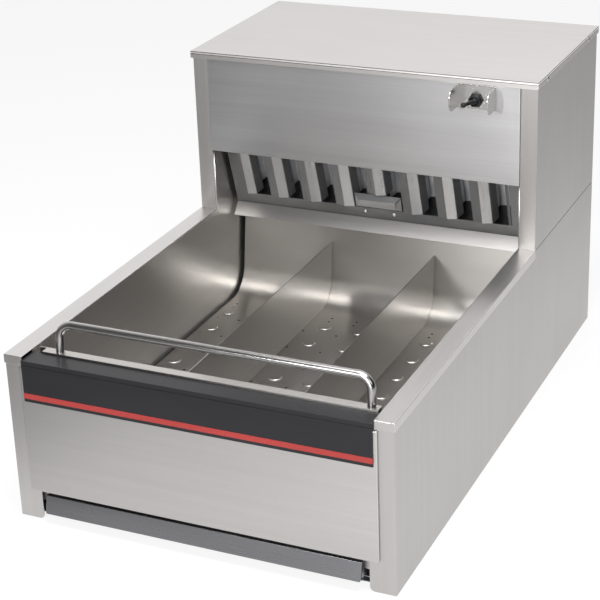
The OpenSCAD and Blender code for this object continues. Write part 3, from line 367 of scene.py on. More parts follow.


# Each finish: its kind, its colour by name or plainly, how much lighter, and the rest. On copies
# of one steel the factor paints light and shade into the colour, as noted at those rows
FINISHES = {
    # Copies of the outer steel made lighter or darker: painted light on the deck, ledge and
    # cover, painted shade on the sides and front
    "side_steel": (brushed, "outer_steel", 0.96, dict(rough=0.40, grain="z", contrast=0.4)),
    "deck_steel": (brushed, "outer_steel", 1.06, dict(rough=0.32, grain="y", contrast=0.4)),
    "ledge_steel": (brushed, "outer_steel", 1.04, dict(rough=0.34)),
    "front_steel": (brushed, "outer_steel", 0.92, dict(rough=0.42, contrast=0.4)),
    "cover_steel": (brushed, "outer_steel", 1.1, dict(rough=0.42, contrast=0.3,
                                                      hem=COVER_TOP * MM)),
    "hood_steel": (brushed, "hood_steel", 1.04, dict(rough=0.40, spread=0.62)),
    "wall_steel": (brushed, "liner_steel", 0.9, dict(
        rough=0.29, grain="y", contrast=0.3, smudge=0.3, spread=0.8, relief=0.1, metal=0.9)),
    "pan_steel": (brushed, "liner_steel", 0.9, dict(
        rough=0.29, contrast=0.15, smudge=0.3, spread=0.85, relief=0.04)),
    # The louvre rims take a darker copy of the liner steel: painted shade that dims their
    # highlight
    "rim_steel": (brushed, "liner_steel", 0.72, dict(
        rough=0.44, contrast=0.15, smudge=0.3, spread=0.0, relief=0.04)),
    # Near black inside the vent holes: painted shade
    "hole_shade": (enamel, (0.012, 0.011, 0.010), 1, dict(rough=0.6, texture=0.2, shine=0.1)),
    # The dividers take a darker copy of the liner steel: painted shade
    "divider_steel": (brushed, "liner_steel", 0.72, dict(
        rough=0.31, grain="y", contrast=0.25, smudge=0.3, spread=0.1, relief=0.1)),
    "pull_steel": (brushed, "pull_steel", 1, dict(rough=0.27, smudge=0.9, relief=0.2)),
    "tray_steel": (brushed, "outer_steel", 0.8, dict(rough=0.36, contrast=0.4, smudge=0.9)),
    "rod_steel": (brushed, "rod_steel", 1, dict(
        rough=0.20, contrast=0.3, smudge=0.3, spread=0.0)),
    # Copies of the filter steel: the frame, handle and front baffles darker, painted shade; the
    # rear baffles much lighter, painted light where the filter's inside lies in shade
    "filter_steel": (brushed, "filter_steel", 0.4, dict(
        rough=0.30, contrast=0.4, smudge=0.6, relief=0.2, lean=FILTER_LEAN, metal=0.75)),
    "handle_steel": (brushed, "filter_steel", 0.8, dict(
        rough=0.32, contrast=0.4, smudge=0.6, relief=0.2, lean=FILTER_LEAN, metal=0.9)),
    "baffle_steel": (brushed, "filter_steel", 0.62, dict(
        rough=0.28, grain="z", smudge=0.4, spread=0.6, relief=0.1, lean=FILTER_LEAN,
        metal=0.75)),
    "inner_baffle_steel": (brushed, "filter_steel", 1.7, dict(
        rough=0.36, grain="z", contrast=0.4, spread=0.5, relief=0.1, lean=FILTER_LEAN,
        metal=0.35)),
    "guard_steel": (brushed, "rod_steel", 1.6, dict(
        rough=0.16, contrast=0.3, spread=0.2, relief=0.2)),
    "zinc": (zinc, "galvanised", 1, {}),
    # A near black copy of the zinc for the pan rails: painted shade in the gap beside the pan
    "dull_zinc": (zinc, "galvanised", 0.22, {}),
    "black_enamel": (enamel, "fascia_black", 1, {}),
    "red_enamel": (enamel, "stripe_red", 1, dict(rough=0.4)),
    "motor_paint": (enamel, (0.05, 0.055, 0.06), 1, dict(rough=0.45, texture=0.6, shine=0.5)),
    "bakelite": (moulded, (0.05, 0.032, 0.024), 1, dict(rough=0.42)),
    "rubber": (moulded, "rubber", 1, dict(rough=0.48)),
    "nylon": (moulded, (0.02, 0.02, 0.021), 1, dict(rough=0.45)),
    "hardware": (plated, (0.62, 0.62, 0.61), 1, dict(rough=0.28)),
    "brass": (plated, (0.70, 0.52, 0.24), 1, dict(rough=0.3)),
    "etched_grey": (plated, (0.16, 0.16, 0.165), 1, dict(rough=0.5)),
    "sheath": (plated, (0.20, 0.18, 0.17), 1, dict(rough=0.42)),
}
MADE = {}


def look(name):
    """Makes each finish once, the first time that a piece asks for it."""
    if name not in MADE:
        kind, colour, tone_and_painted_light, rest = FINISHES[name]
        if isinstance(colour, str):
            colour = getattr(bpy.context.scene.warmer_colours, colour)
        MADE[name] = kind(name, [channel * tone_and_painted_light for channel in colour], **rest)
    return MADE[name]


# Geometry

def body_of_node(node):
    for body, nodes in MOVING.items():
        if node in nodes:
            return body
    return "cabinet"


def grain_uv(mesh, grain):
    """Lays a map square to the grain: brushing spreads a highlight across its scratches."""
    along = Vector(BRUSH_AXES[grain])
    layer = mesh.uv_layers.new(name="grain")
    for polygon in mesh.polygons:
        n = polygon.normal
        u = along - n * along.dot(n)
        if u.length < 0.35:
            spare = Vector(BRUSH_AXES["z"]) if abs(n.z) < 0.9 else Vector(BRUSH_AXES["y"])
            u = spare - n * spare.dot(n)
        u.normalize()
        v = n.cross(u)
        for index in polygon.loop_indices:
            place = mesh.vertices[mesh.loops[index].vertex_index].co
            layer.data[index].uv = (place.dot(v), place.dot(u))


def face_reach(face, edge):
    """Width of a face measured square to one of its edges."""
    run = (edge.verts[1].co - edge.verts[0].co).normalized()
    across = face.normal.cross(run)
    spans = [vert.co.dot(across) for vert in face.verts]
    return max(spans) - min(spans)


def mark_folds(bm, fold, cut, gauge):
    """Marks folds with a full round, and the cut edges of the sheet with a slight one."""
    layer = bm.edges.layers.float.new("bevel_weight_edge")
    for edge in bm.edges:
        if len(edge.link_faces) != 2 or not edge.is_convex:
            continue
        if edge.calc_face_angle(0.0) < FOLD_ANGLE:
            continue
        thin = min(face_reach(face, edge) for face in edge.link_faces)
        edge[layer] = cut / fold if thin < gauge else 1.0


def tidy_copy(node):
    """Merged copy of a CAD node's mesh, with its flat areas joined up."""
    bm = bmesh.new()
    bm.from_mesh(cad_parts[node].data)
    bmesh.ops.remove_doubles(bm, verts=bm.verts, dist=MERGE * MM)
    bmesh.ops.dissolve_limit(bm, angle_limit=FLAT_ANGLE, verts=bm.verts, edges=bm.edges)
    bm.normal_update()
    return bm


def as_object(name, bm):
    mesh = bpy.data.meshes.new(name)
    bm.to_mesh(mesh)
    bm.free()
    piece = bpy.data.objects.new(name, mesh)
    bpy.context.scene.collection.objects.link(piece)
    return piece


def moved_to(place):
    return Matrix.Translation([value * MM for value in place])


def bake_modifiers(piece):
    """Turns a piece's modifiers into its plain mesh."""
    graph = bpy.context.evaluated_depsgraph_get()
    mesh = bpy.data.meshes.new_from_object(piece.evaluated_get(graph))
    piece.modifiers.clear()
    old = piece.data
    piece.data = mesh
    bpy.data.meshes.remove(old)
    return piece


def mark_edges_and_painted_light(mesh, pressed=False, painted_side_shade=0.0):
    """Keeps faces as attributes, which the finishes read.

    The edge mark is every rounded edge, and on a pressed piece the sloping rims too, which the
    finishes make paler, partly as rubbing and partly as a painted highlight. The side mark is how
    far the faces that look sideways are darkened, a painted shade.
    """
    rub_and_painted_highlight = mesh.attributes.new("edge_wear", "FLOAT", "FACE")
    shade = mesh.attributes.new("face_shade", "FLOAT", "FACE")
    top = (PAN_FLOOR + LOUVRE_RISE + LOUVRE_RIM_SPARE) * MM
    for polygon in mesh.polygons:
        # The sloping louvre rims are marked to be made paler, as a painted highlight
        rim = pressed and 0.3 < polygon.normal.z < 0.9 and polygon.center.z < top
        rub_and_painted_highlight.data[polygon.index].value = float(rim or polygon.material_index == 1)
        # Faces that look sideways get this much painted shade
        if abs(polygon.normal.x) > 0.9:
            shade.data[polygon.index].value = painted_side_shade
        polygon.material_index = 0


def clean(mesh):
    """Takes out the slivers that a modifier can leave, unless that opens the mesh."""
    bm = bmesh.new()
    bm.from_mesh(mesh)
    bmesh.ops.remove_doubles(bm, verts=bm.verts, dist=SLIVER * MM)
    bmesh.ops.dissolve_degenerate(bm, dist=SLIVER * MM, edges=bm.edges)
    if not any(edge.is_boundary for edge in bm.edges):
        bm.to_mesh(mesh)
    bm.free()


def settle(piece, finish, node=None, grain="x", smooth=40.0):
    """Gives a finished piece its look, grain and smooth shading, and its node's body, and hides
    its node.
    """
    clean(piece.data)
    piece.data.shade_smooth()
    piece.data.set_sharp_from_angle(angle=math.radians(smooth))
    flat = piece.modifiers.new("flats", "WEIGHTED_NORMAL")
    flat.keep_sharp = True
    flat.weight = 100
    bake_modifiers(piece)
    mesh = piece.data
    if "grain" not in mesh.uv_layers:
        grain_uv(mesh, grain)
    mesh.materials.clear()
    mesh.materials.append(look(finish))
    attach(piece, body_of_node(node))
    if node:
        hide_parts(node)
    return piece


def press_louvres(bm):
    """Slopes the louvres' upright rims in, as a press tool leaves them."""
    radius, rise, floor = (value * MM for value in (LOUVRE_RADIUS, LOUVRE_RISE, PAN_FLOOR))
    tops = [face for face in bm.faces if face.normal.z > 0.99 and
            abs(face.calc_center_median().z - floor - rise) < LOUVRE_TOP_SPARE * MM]
    for top in tops:
        middle = sum((vert.co for vert in top.verts), Vector()) / len(top.verts)
        for vert in bm.verts:
            out = Vector((vert.co.x - middle.x, vert.co.y - middle.y, 0))
            up = vert.co.z - floor
            near = 0.6 * radius < out.length < radius + LOUVRE_RIM_SPARE * MM
            if near and up > FLOOR_SPARE * MM:
                vert.co -= out.normalized() * LOUVRE_SLOPE * MM * up / rise


def rounded(node, finish, grain="x", fold=None, cut=None, gauge=2.2 * MM, shape=None,
            painted_side_shade=0.0):
    """A folded sheet piece: its CAD shape with rounded folds and slightly broken cut edges.

    Faces narrower than gauge are the sheet's cut edges.
    """
    sizes = bpy.context.scene.warmer_sizes
    fold = fold or sizes.fold_radius
    cut = cut or sizes.cut_radius
    bm = tidy_copy(node)
    if shape:
        shape(bm)
        bm.normal_update()
    mark_folds(bm, fold, cut, gauge)
    piece = as_object(node + "_finished", bm)
    piece.data.materials.append(None)
    piece.data.materials.append(None)
    bevel = piece.modifiers.new("edges", "BEVEL")
    bevel.limit_method = "WEIGHT"
    bevel.width = fold
    bevel.segments = 3
    bevel.material = 1
    bevel.use_clamp_overlap = True
    bevel.miter_outer = "MITER_ARC"
    bake_modifiers(piece)
    mark_edges_and_painted_light(piece.data, shape is not None, painted_side_shade)
    return settle(piece, finish, node, grain)


def more_finishes(piece, finishes, choose):
    """Gives some of a piece's faces other looks: choose says which, and 0 keeps the first."""
    for finish in finishes:
        piece.data.materials.append(look(finish))
    for polygon in piece.data.polygons:
        polygon.material_index = choose(polygon)


def keep_node(node, finish):
    """Dresses a CAD node as it is."""
    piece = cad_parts[node]
    piece.data.materials.clear()
    piece.data.materials.append(look(finish))
    return piece


# Geometry Nodes

SOCKETS = {"length": "NodeSocketFloat", "angle": "NodeSocketFloat", "count": "NodeSocketInt",
           "switch": "NodeSocketBool", "finish": "NodeSocketMaterial"}


class Grower:
    """A Geometry Nodes tree with named inputs, built from short calls."""

    def __init__(self, name, inputs):
        self.tree = bpy.data.node_groups.new(name, "GeometryNodeTree")
        face = self.tree.interface
        face.new_socket(name="Geometry", in_out="INPUT", socket_type="NodeSocketGeometry")
        for label, kind in inputs.items():
            face.new_socket(name=label, in_out="INPUT", socket_type=SOCKETS[kind])
        face.new_socket(name="Finish", in_out="INPUT", socket_type=SOCKETS["finish"])
        face.new_socket(name="Geometry", in_out="OUTPUT", socket_type="NodeSocketGeometry")
        self.given = self.tree.nodes.new("NodeGroupInput").outputs

    def add(self, kind, sockets=None, **settings):
        plain = kind.startswith(("ShaderNode", "FunctionNode"))
        node = self.tree.nodes.new(kind if plain else "GeometryNode" + kind)
        for key, value in settings.items():
            setattr(node, key, value)
        for key, value in (sockets or {}).items():
            for one in value if isinstance(value, list) else (value,):
                if isinstance(one, bpy.types.NodeSocket):
                    self.tree.links.new(one, node.inputs[key])
                else:
                    node.inputs[key].default_value = one
        return node.outputs

    def math(self, operation, a, b=0.0):
        return self.add("ShaderNodeMath", {0: a, 1: b}, operation=operation)[0]

    def vector(self, x=0.0, y=0.0, z=0.0):
        return self.add("ShaderNodeCombineXYZ", {0: x, 1: y, 2: z})[0]

    def moved(self, geometry, place=None, turn=None):
        sockets = {"Geometry": geometry}
        if place is not None:
            sockets["Translation"] = place
        if turn is not None:
            sockets["Rotation"] = turn
        return self.add("Transform", sockets)[0]

    def cylinder(self, sides, radius, depth, foot):
        """A cylinder that stands along Z from the height foot."""
        mesh = self.add("MeshCylinder", {"Vertices": sides, "Radius": radius,
                                                     "Depth": depth})[0]
        middle = self.math("ADD", self.math("MULTIPLY", depth, 0.5), foot)
        return self.moved(mesh, self.vector(z=middle))

    def sheet(self, surface, thickness):
        """Thickens a surface evenly to both sides."""
        normal = self.add("InputNormal")[0]
        back = self.math("MULTIPLY", thickness, -0.5)
        inset = self.add("ShaderNodeVectorMath", {0: normal, 3: back}, operation="SCALE")[0]
        base = self.add("SetPosition", {"Geometry": surface, "Offset": inset})[0]
        raised = self.add("ExtrudeMesh", {"Mesh": base, "Offset Scale": thickness,
                                                      "Individual": False})[0]
        under = self.add("FlipFaces", {"Mesh": base})[0]
        both = self.add("JoinGeometry", {"Geometry": [raised, under]})[0]
        return self.add("MergeByDistance", {"Geometry": both, "Distance": 1e-6})[0]

    def finish(self, instances):
        real = self.add("RealizeInstances", {"Geometry": instances})[0]
        dressed = self.add("SetMaterial", {"Geometry": real,
                                                       "Material": self.given["Finish"]})[0]
        end = self.tree.nodes.new("NodeGroupOutput")
        self.tree.links.new(dressed, end.inputs[0])
        return self.tree


def grown(name, tree, base, finish, values):
    """Runs a tree on a base mesh, with its inputs set by identifier, and keeps the mesh."""
    piece = bpy.data.objects.new(name, base)
    bpy.context.scene.collection.objects.link(piece)
    grower = piece.modifiers.new("grow", "NODES")
    grower.node_group = tree
    for item in tree.interface.items_tree:
        if item.in_out != "INPUT" or item.socket_type == "NodeSocketGeometry":
            continue
        grower[item.identifier] = look(finish) if item.name == "Finish" else values[item.name]
    return bake_modifiers(piece)


def base_points(name, places, axes):
    """A mesh of loose points that keeps each one's direction as the axis attribute."""
    mesh = bpy.data.meshes.new(name)
    mesh.from_pydata(places, [], [])
    layer = mesh.attributes.new("axis", "FLOAT_VECTOR", "POINT")
    for item, axis in zip(layer.data, axes):
        item.vector = axis
    return mesh


def base_path(name, points):
    """A mesh of one open line."""
    mesh = bpy.data.meshes.new(name)
    mesh.from_pydata(points, [(i, i + 1) for i in range(len(points) - 1)], [])
    return mesh


def fastener_tree():
    """Domed heads with an optional cross recess, on plain shanks, one at each point."""
    if "fasteners" in bpy.data.node_groups:
        return bpy.data.node_groups["fasteners"]
    t = Grower("fasteners", {
        "Head radius": "length", "Head height": "length", "Dome radius": "length",
        "Shank radius": "length", "Shank length": "length", "Recess": "switch",
        "Recess length": "length", "Recess width": "length", "Recess depth": "length"})
    given = t.given
    height = given["Head height"]
    ball = t.add("MeshUVSphere", {"Segments": 48, "Rings": 32,
                                              "Radius": given["Dome radius"]})[0]
    ball = t.moved(ball, t.vector(z=t.math("SUBTRACT", height, given["Dome radius"])))
    rim = t.cylinder(48, given["Head radius"], t.math("MULTIPLY", height, 1.5), 0.0)
    dome = t.add("MeshBoolean", {"Mesh 2": [ball, rim]}, operation="INTERSECT",
                 solver="EXACT")[0]
    depth = t.math("MULTIPLY", given["Recess depth"], 2.0)
    slot = t.add("MeshCube", {"Size": t.vector(
        given["Recess length"], given["Recess width"], depth)})[0]
    slot = t.moved(slot, t.vector(z=height))
    crossing = t.moved(slot, turn=t.vector(z=math.pi / 2))
    cut = t.add("MeshBoolean", {"Mesh 1": dome, "Mesh 2": [slot, crossing]},
                operation="DIFFERENCE", solver="EXACT")[0]
    head = t.add("Switch", {"Switch": given["Recess"], "False": dome, "True": cut},
                 input_type="GEOMETRY")[0]
    length = given["Shank length"]
    shank = t.cylinder(24, given["Shank radius"], length, t.math("MULTIPLY", length, -1.0))
    one = t.add("JoinGeometry", {"Geometry": [head, shank]})[0]
    axis = t.add("InputNamedAttribute", {"Name": "axis"}, data_type="FLOAT_VECTOR")[0]
    aim = t.add("FunctionNodeAlignRotationToVector", {"Vector": axis}, axis="Z")[0]
    spin = t.add("FunctionNodeRandomValue", {"Min": 0.0, "Max": math.pi, "Seed": 7},
                 data_type="FLOAT")
    spin = [socket for socket in spin if socket.enabled][0]
    turn = t.add("FunctionNodeAxisAngleToRotation", {"Axis": (0.0, 0.0, 1.0), "Angle": spin})[0]
    turn = t.add("FunctionNodeRotateRotation", {"Rotation": aim, "Rotate By": turn},
                 rotation_space="LOCAL")[0]
    rows = t.add("InstanceOnPoints", {"Points": given["Geometry"], "Instance": one,
                                                  "Rotation": turn})[0]
    return t.finish(rows)


def fasteners(node, axis_of, values):
    """Replaces a node of screws or rivets: axis_of says which way one points from its place."""
    places, axes = seats(node, axis_of, values["Head height"])
    piece = grown(node + "_finished", fastener_tree(), base_points(node, places, axes),
                  "hardware", values)
    soften = piece.modifiers.new("edges", "BEVEL")
    soften.limit_method = "ANGLE"
    soften.angle_limit = math.radians(40)
    soften.width = 0.09 * MM
    soften.segments = 2
    bake_modifiers(piece)
    return settle(piece, "hardware", node)


def baffle_tree():
    """A row of folded sheets: a section, rounded at its folds, drawn up and thickened."""
    if "baffles" in bpy.data.node_groups:
        return bpy.data.node_groups["baffles"]
    t = Grower("baffles", {"Count": "count", "Pitch": "length", "First": "length",
                           "Foot": "length", "Height": "length", "Sheet": "length",
                           "Fold": "length"})
    given = t.given
    section = t.add("MeshToCurve", {"Mesh": given["Geometry"]})[0]
    section = t.add("FilletCurve", {"Curve": section, "Radius": given["Fold"],
                                                "Count": 5, "Limit Radius": True},
                    mode="POLY")[0]
    edges = t.add("CurveToMesh", {"Curve": section})[0]
    rise = t.vector(z=given["Height"])
    face = t.add("ExtrudeMesh", {"Mesh": edges, "Offset": rise}, mode="EDGES")[0]
    one = t.moved(t.sheet(face, given["Sheet"]), t.vector(z=given["Foot"]))
    line = t.add("MeshLine", {"Count": given["Count"],
                                          "Start Location": t.vector(x=given["First"]),
                                          "Offset": t.vector(x=given["Pitch"])},
                 mode="OFFSET")[0]
    return t.finish(t.add("InstanceOnPoints", {"Points": line, "Instance": one})[0])


def blade_tree():
    """Curved blades round a wheel whose axis is Z."""
    t = Grower("blades", {"Count": "count", "Radius": "length", "Foot": "length",
                          "Height": "length", "Sheet": "length"})
    given = t.given
    edges = t.add("CurveToMesh", {"Curve": t.add(
        "MeshToCurve", {"Mesh": given["Geometry"]})[0]})[0]
    face = t.add("ExtrudeMesh", {"Mesh": edges, "Offset": t.vector(
        z=given["Height"])}, mode="EDGES")[0]
    one = t.moved(t.sheet(face, given["Sheet"]), t.vector(x=given["Radius"], z=given["Foot"]))
    ring = t.add("MeshLine", {"Count": given["Count"], "Offset": (0.0, 0.0, 0.0)},
                 mode="OFFSET")[0]
    share = t.math("DIVIDE", t.add("InputIndex")[0], given["Count"])
    turn = t.vector(z=t.math("MULTIPLY", share, 2 * math.pi))
    return t.finish(t.add("InstanceOnPoints", {"Points": ring, "Instance": one,
                                                           "Rotation": turn})[0])


def joined(name, pieces):
    """Joins several finished meshes into one object."""
    bm = bmesh.new()
    for piece in pieces:
        bm.from_mesh(piece.data)
        mesh = piece.data
        bpy.data.objects.remove(piece)
        bpy.data.meshes.remove(mesh)
    return as_object(name, bm)


def lathe(name, profile, steps=64, closed=False):
    """Turns a profile of (radius, height) points round Z."""
    bm = bmesh.new()
    line = [bm.verts.new((radius, 0.0, height)) for radius, height in profile]
    edges = [bm.edges.new(pair) for pair in zip(line, line[1:])]
    if closed:
        edges.append(bm.edges.new((line[-1], line[0])))
    bmesh.ops.spin(bm, geom=line + edges, cent=(0, 0, 0), axis=(0, 0, 1), angle=2 * math.pi,
                   steps=steps, use_duplicate=False)
    bmesh.ops.remove_doubles(bm, verts=bm.verts, dist=1e-7)
    bmesh.ops.recalc_face_normals(bm, faces=bm.faces)
    return as_object(name, bm)


def six_sided(mesh, corner, least):
    """Presses the round foot of a turned mesh into a hexagon, down to its least radius."""
    flat = corner * math.cos(math.radians(30))
    for vertex in mesh.vertices:
        radius = math.hypot(vertex.co.x, vertex.co.y)
        if radius < least + 1e-6:
            continue
        turn = math.degrees(math.atan2(vertex.co.y, vertex.co.x)) % 60 - 30
        side = min(flat / math.cos(math.radians(turn)), 0.985 * corner)
        vertex.co.xy *= max(side - (corner - radius), least) / radius


def tube(name, path, radius, sides=40):
    """Sweeps a round rod along a flat path; its ends are closed."""
    bm = bmesh.new()
    rings = []
    side = (path[-1] - path[0]).cross(path[len(path) // 2] - path[0]).normalized()
    for index, place in enumerate(path):
        run = (path[min(index + 1, len(path) - 1)] - path[max(index - 1, 0)]).normalized()
        up = run.cross(side).normalized()
        rings.append([bm.verts.new(place + radius * (
            math.cos(2 * math.pi * k / sides) * side + math.sin(2 * math.pi * k / sides) * up))
            for k in range(sides)])
    for low, high in zip(rings, rings[1:]):
        for k in range(sides):
            bm.faces.new((low[k], low[(k + 1) % sides], high[(k + 1) % sides], high[k]))
    bm.faces.new(rings[0])
    bm.faces.new(rings[-1])
    bmesh.ops.recalc_face_normals(bm, faces=bm.faces)
    return as_object(name, bm)


def seats(node, axis_of, head):
    """Where each loose part of a CAD node meets its seat, a head's height below its top."""
    bm = tidy_copy(node)
    left = set(bm.verts)
    places, axes = [], []
    while left:
        island, front = set(), [left.pop()]
        while front:
            vert = front.pop()
            island.add(vert)
            front.extend(other for link in vert.link_edges for other in link.verts
                         if other in left)
            left.difference_update(front)
        middle = sum((vert.co for vert in island), Vector()) / len(island)
        axis = axis_of(middle)
        across = axis.orthogonal().normalized()
        place = axis * (max(vert.co.dot(axis) for vert in island) - head)
        for way in (across, axis.cross(across)):
            spans = [vert.co.dot(way) for vert in island]
            place += way * (max(spans) + min(spans)) / 2
        places.append(place)
        axes.append(axis)
    bm.free()
    order = sorted(range(len(places)), key=lambda i: tuple(round(v, 4) for v in places[i]))
    return [places[i] for i in order], [axes[i] for i in order]


# Operators

class Undoable:
    """What the operators share."""
    bl_options = {"REGISTER", "UNDO"}


class WARMER_OT_side_panels(Undoable, Operator):
    """Finish the two outer side panels"""
    bl_idname = "warmer.side_panels"
    bl_label = "Side panels"

    def execute(self, context):
        for node in ("left_side_panel", "right_side_panel"):
            rounded(node, "side_steel", "z")
        return {"FINISHED"}


class WARMER_OT_deck_caps(Undoable, Operator):
    """Finish the top strips beside the pan"""
    bl_idname = "warmer.deck_caps"
    bl_label = "Deck caps"

    def execute(self, context):
        for node in ("left_deck_cap", "right_deck_cap"):
            rounded(node, "deck_steel", "y")
        return {"FINISHED"}


class WARMER_OT_front(Undoable, Operator):
    """Finish the front panel, the fascia and its stripe"""
    bl_idname = "warmer.front"
    bl_label = "Front"

    def execute(self, context):
        sizes = context.scene.warmer_sizes
        rounded("front_panel", "front_steel", "x", 1.2 * MM, gauge=1.8 * MM)
        rounded("front_cross_rail", "front_steel", "x")
        rounded("fascia", "black_enamel", "x", sizes.enamel_radius, 0.2 * MM, gauge=1.3 * MM)
        rounded("fascia_stripe", "red_enamel", "x", 0.12 * MM, 0.1 * MM, gauge=0.1 * MM)
        return {"FINISHED"}


class WARMER_OT_liner(Undoable, Operator):
    """Finish the liner walls, the food pan and the dividers"""
    bl_idname = "warmer.liner"
    bl_label = "Liner and pan"

    def execute(self, context):
        for node in ("left_bin_wall", "right_bin_wall"):
            rounded(node, "wall_steel", "y")
        pan = rounded("food_pan", "pan_steel", "x", 0.5 * MM, shape=press_louvres)
        rub_and_highlight_marks = pan.data.attributes["edge_wear"].data

        def part_of_pan(polygon):
            """1 for a louvre's rim or another marked edge, made paler as rubbing and as a painted
            highlight, 2 for the inside of a vent hole, painted dark as shade.
            """
            x, _, z = (value / MM for value in polygon.center)
            low, high = PAN_FLOOR - PAN_SHEET - LOUVRE_RIM_SPARE, PAN_FLOOR + FLOOR_SPARE / 2
            hole = low < z < high and abs(x) < PAN_HALF and -0.3 < polygon.normal.z < 0.98
            if hole and polygon.area < HOLE_FACE_AREA * MM * MM:
                return 2
            return int(rub_and_highlight_marks[polygon.index].value > 0.5)

        more_finishes(pan, ("rim_steel", "hole_shade"), part_of_pan)
        for node in ("left_divider", "right_divider"):
            rounded(node, "divider_steel", "y")
        rounded("drip_ledge", "ledge_steel", "x")
        return {"FINISHED"}


class WARMER_OT_guard_rail(Undoable, Operator):
    """Finish the bent guard rail"""
    bl_idname = "warmer.guard_rail"
    bl_label = "Guard rail"

    def execute(self, context):
        sizes = context.scene.warmer_sizes
        left, right, base, foot, rise, stud, root, wide, thread = (value * MM for value in (
            RAIL_LEFT, RAIL_RIGHT, RAIL_BACK, RAIL_FOOT, RAIL_RISE, STUD_LENGTH, STUD_ROOT,
            STUD_RADIUS, STUD_THREAD))
        bend = sizes.rod_bend
        lean = Matrix.Translation((0, base, foot)) @ Matrix.Rotation(-RAIL_LEAN, 4, "X")
        path = [Vector((left, 0, -MM))]
        for centre, start in ((left + bend, math.pi), (right - bend, math.pi / 2)):
            for step in range(BEND_STEPS + 1):
                angle = start - step * math.pi / 2 / BEND_STEPS
                path.append(Vector((centre + bend * math.cos(angle), 0,
                                    rise - bend + bend * math.sin(angle))))
        path.append(Vector((right, 0, -MM)))
        rod = tube("rod", [lean @ place for place in path], sizes.rod_radius)
        bm = bmesh.new()
        bm.from_mesh(rod.data)
        whole = bm.verts[:] + bm.edges[:] + bm.faces[:]
        bmesh.ops.bisect_plane(bm, geom=whole, plane_co=(0, 0, foot), plane_no=(0, 0, 1),
                               clear_inner=True)
        bmesh.ops.holes_fill(bm, edges=bm.edges)
        bmesh.ops.recalc_face_normals(bm, faces=bm.faces)
        bm.to_mesh(rod.data)
        bm.free()
        pieces = [rod]
        profile = [(0, -stud)] + [(wide if i % 2 else root, -stud + i * thread / 2)
                                  for i in range(2 * int(stud / thread))] + [(wide, 0), (0, 0)]
        for x in (left, right):
            piece = lathe("stud", profile, 24)
            piece.data.transform(Matrix.Translation((x, base, foot)))
            pieces.append(piece)
        settle(joined("guard_rail_finished", pieces), "rod_steel", "guard_rail")
        rounded("guard_rail_nuts", "hardware", "x", 0.5 * MM)
        return {"FINISHED"}


class WARMER_OT_crumb_tray(Undoable, Operator):
    """Finish the crumb tray with its pull"""
    bl_idname = "warmer.crumb_tray"
    bl_label = "Crumb tray"

    def execute(self, context):
        tray = rounded("crumb_tray", "pull_steel", "x")
        more_finishes(tray, ("tray_steel",),
                      lambda polygon: int(polygon.center.y > PULL_BACK * MM))
        for node in ("left_tray_runner", "right_tray_runner", "base_pan"):
            rounded(node, "zinc", "y")
        # The pan rails are painted near black: painted shade
        for node in ("left_pan_rail", "right_pan_rail"):
            rounded(node, "dull_zinc", "y")
        return {"FINISHED"}


class WARMER_OT_hood(Undoable, Operator):
    """Finish the hood's sides, cover, face and rear"""
    bl_idname = "warmer.hood"
    bl_label = "Hood"

    def execute(self, context):
        for node in ("hood_left_side", "hood_right_side"):
            rounded(node, "side_steel", "z")
        rounded("hood_cover", "cover_steel", "x")
        rounded("access_panel", "hood_steel", "x")
        for node in ("body_rear_panel", "hood_rear_panel"):
            rounded(node, "cover_steel", "x")
        return {"FINISHED"}


class WARMER_OT_screws(Undoable, Operator):
    """Finish the screws"""
    bl_idname = "warmer.screws"
    bl_label = "Screws"

    def execute(self, context):
        sizes = context.scene.warmer_sizes
        values = {"Head radius": sizes.screw_radius, "Head height": sizes.screw_height,
                  "Dome radius": 5 * MM, "Shank radius": 2 * MM, "Shank length": 6 * MM,
                  "Recess": True, "Recess length": sizes.recess_length,
                  "Recess width": sizes.recess_width, "Recess depth": sizes.recess_depth}
        fasteners("cover_screws", lambda middle: Vector((math.copysign(1, middle.x), 0, 0)),
                  values)
        fasteners("rear_screws", lambda middle: Vector((0, 1, 0)),
                  {**values, "Shank length": 7 * MM})
        return {"FINISHED"}


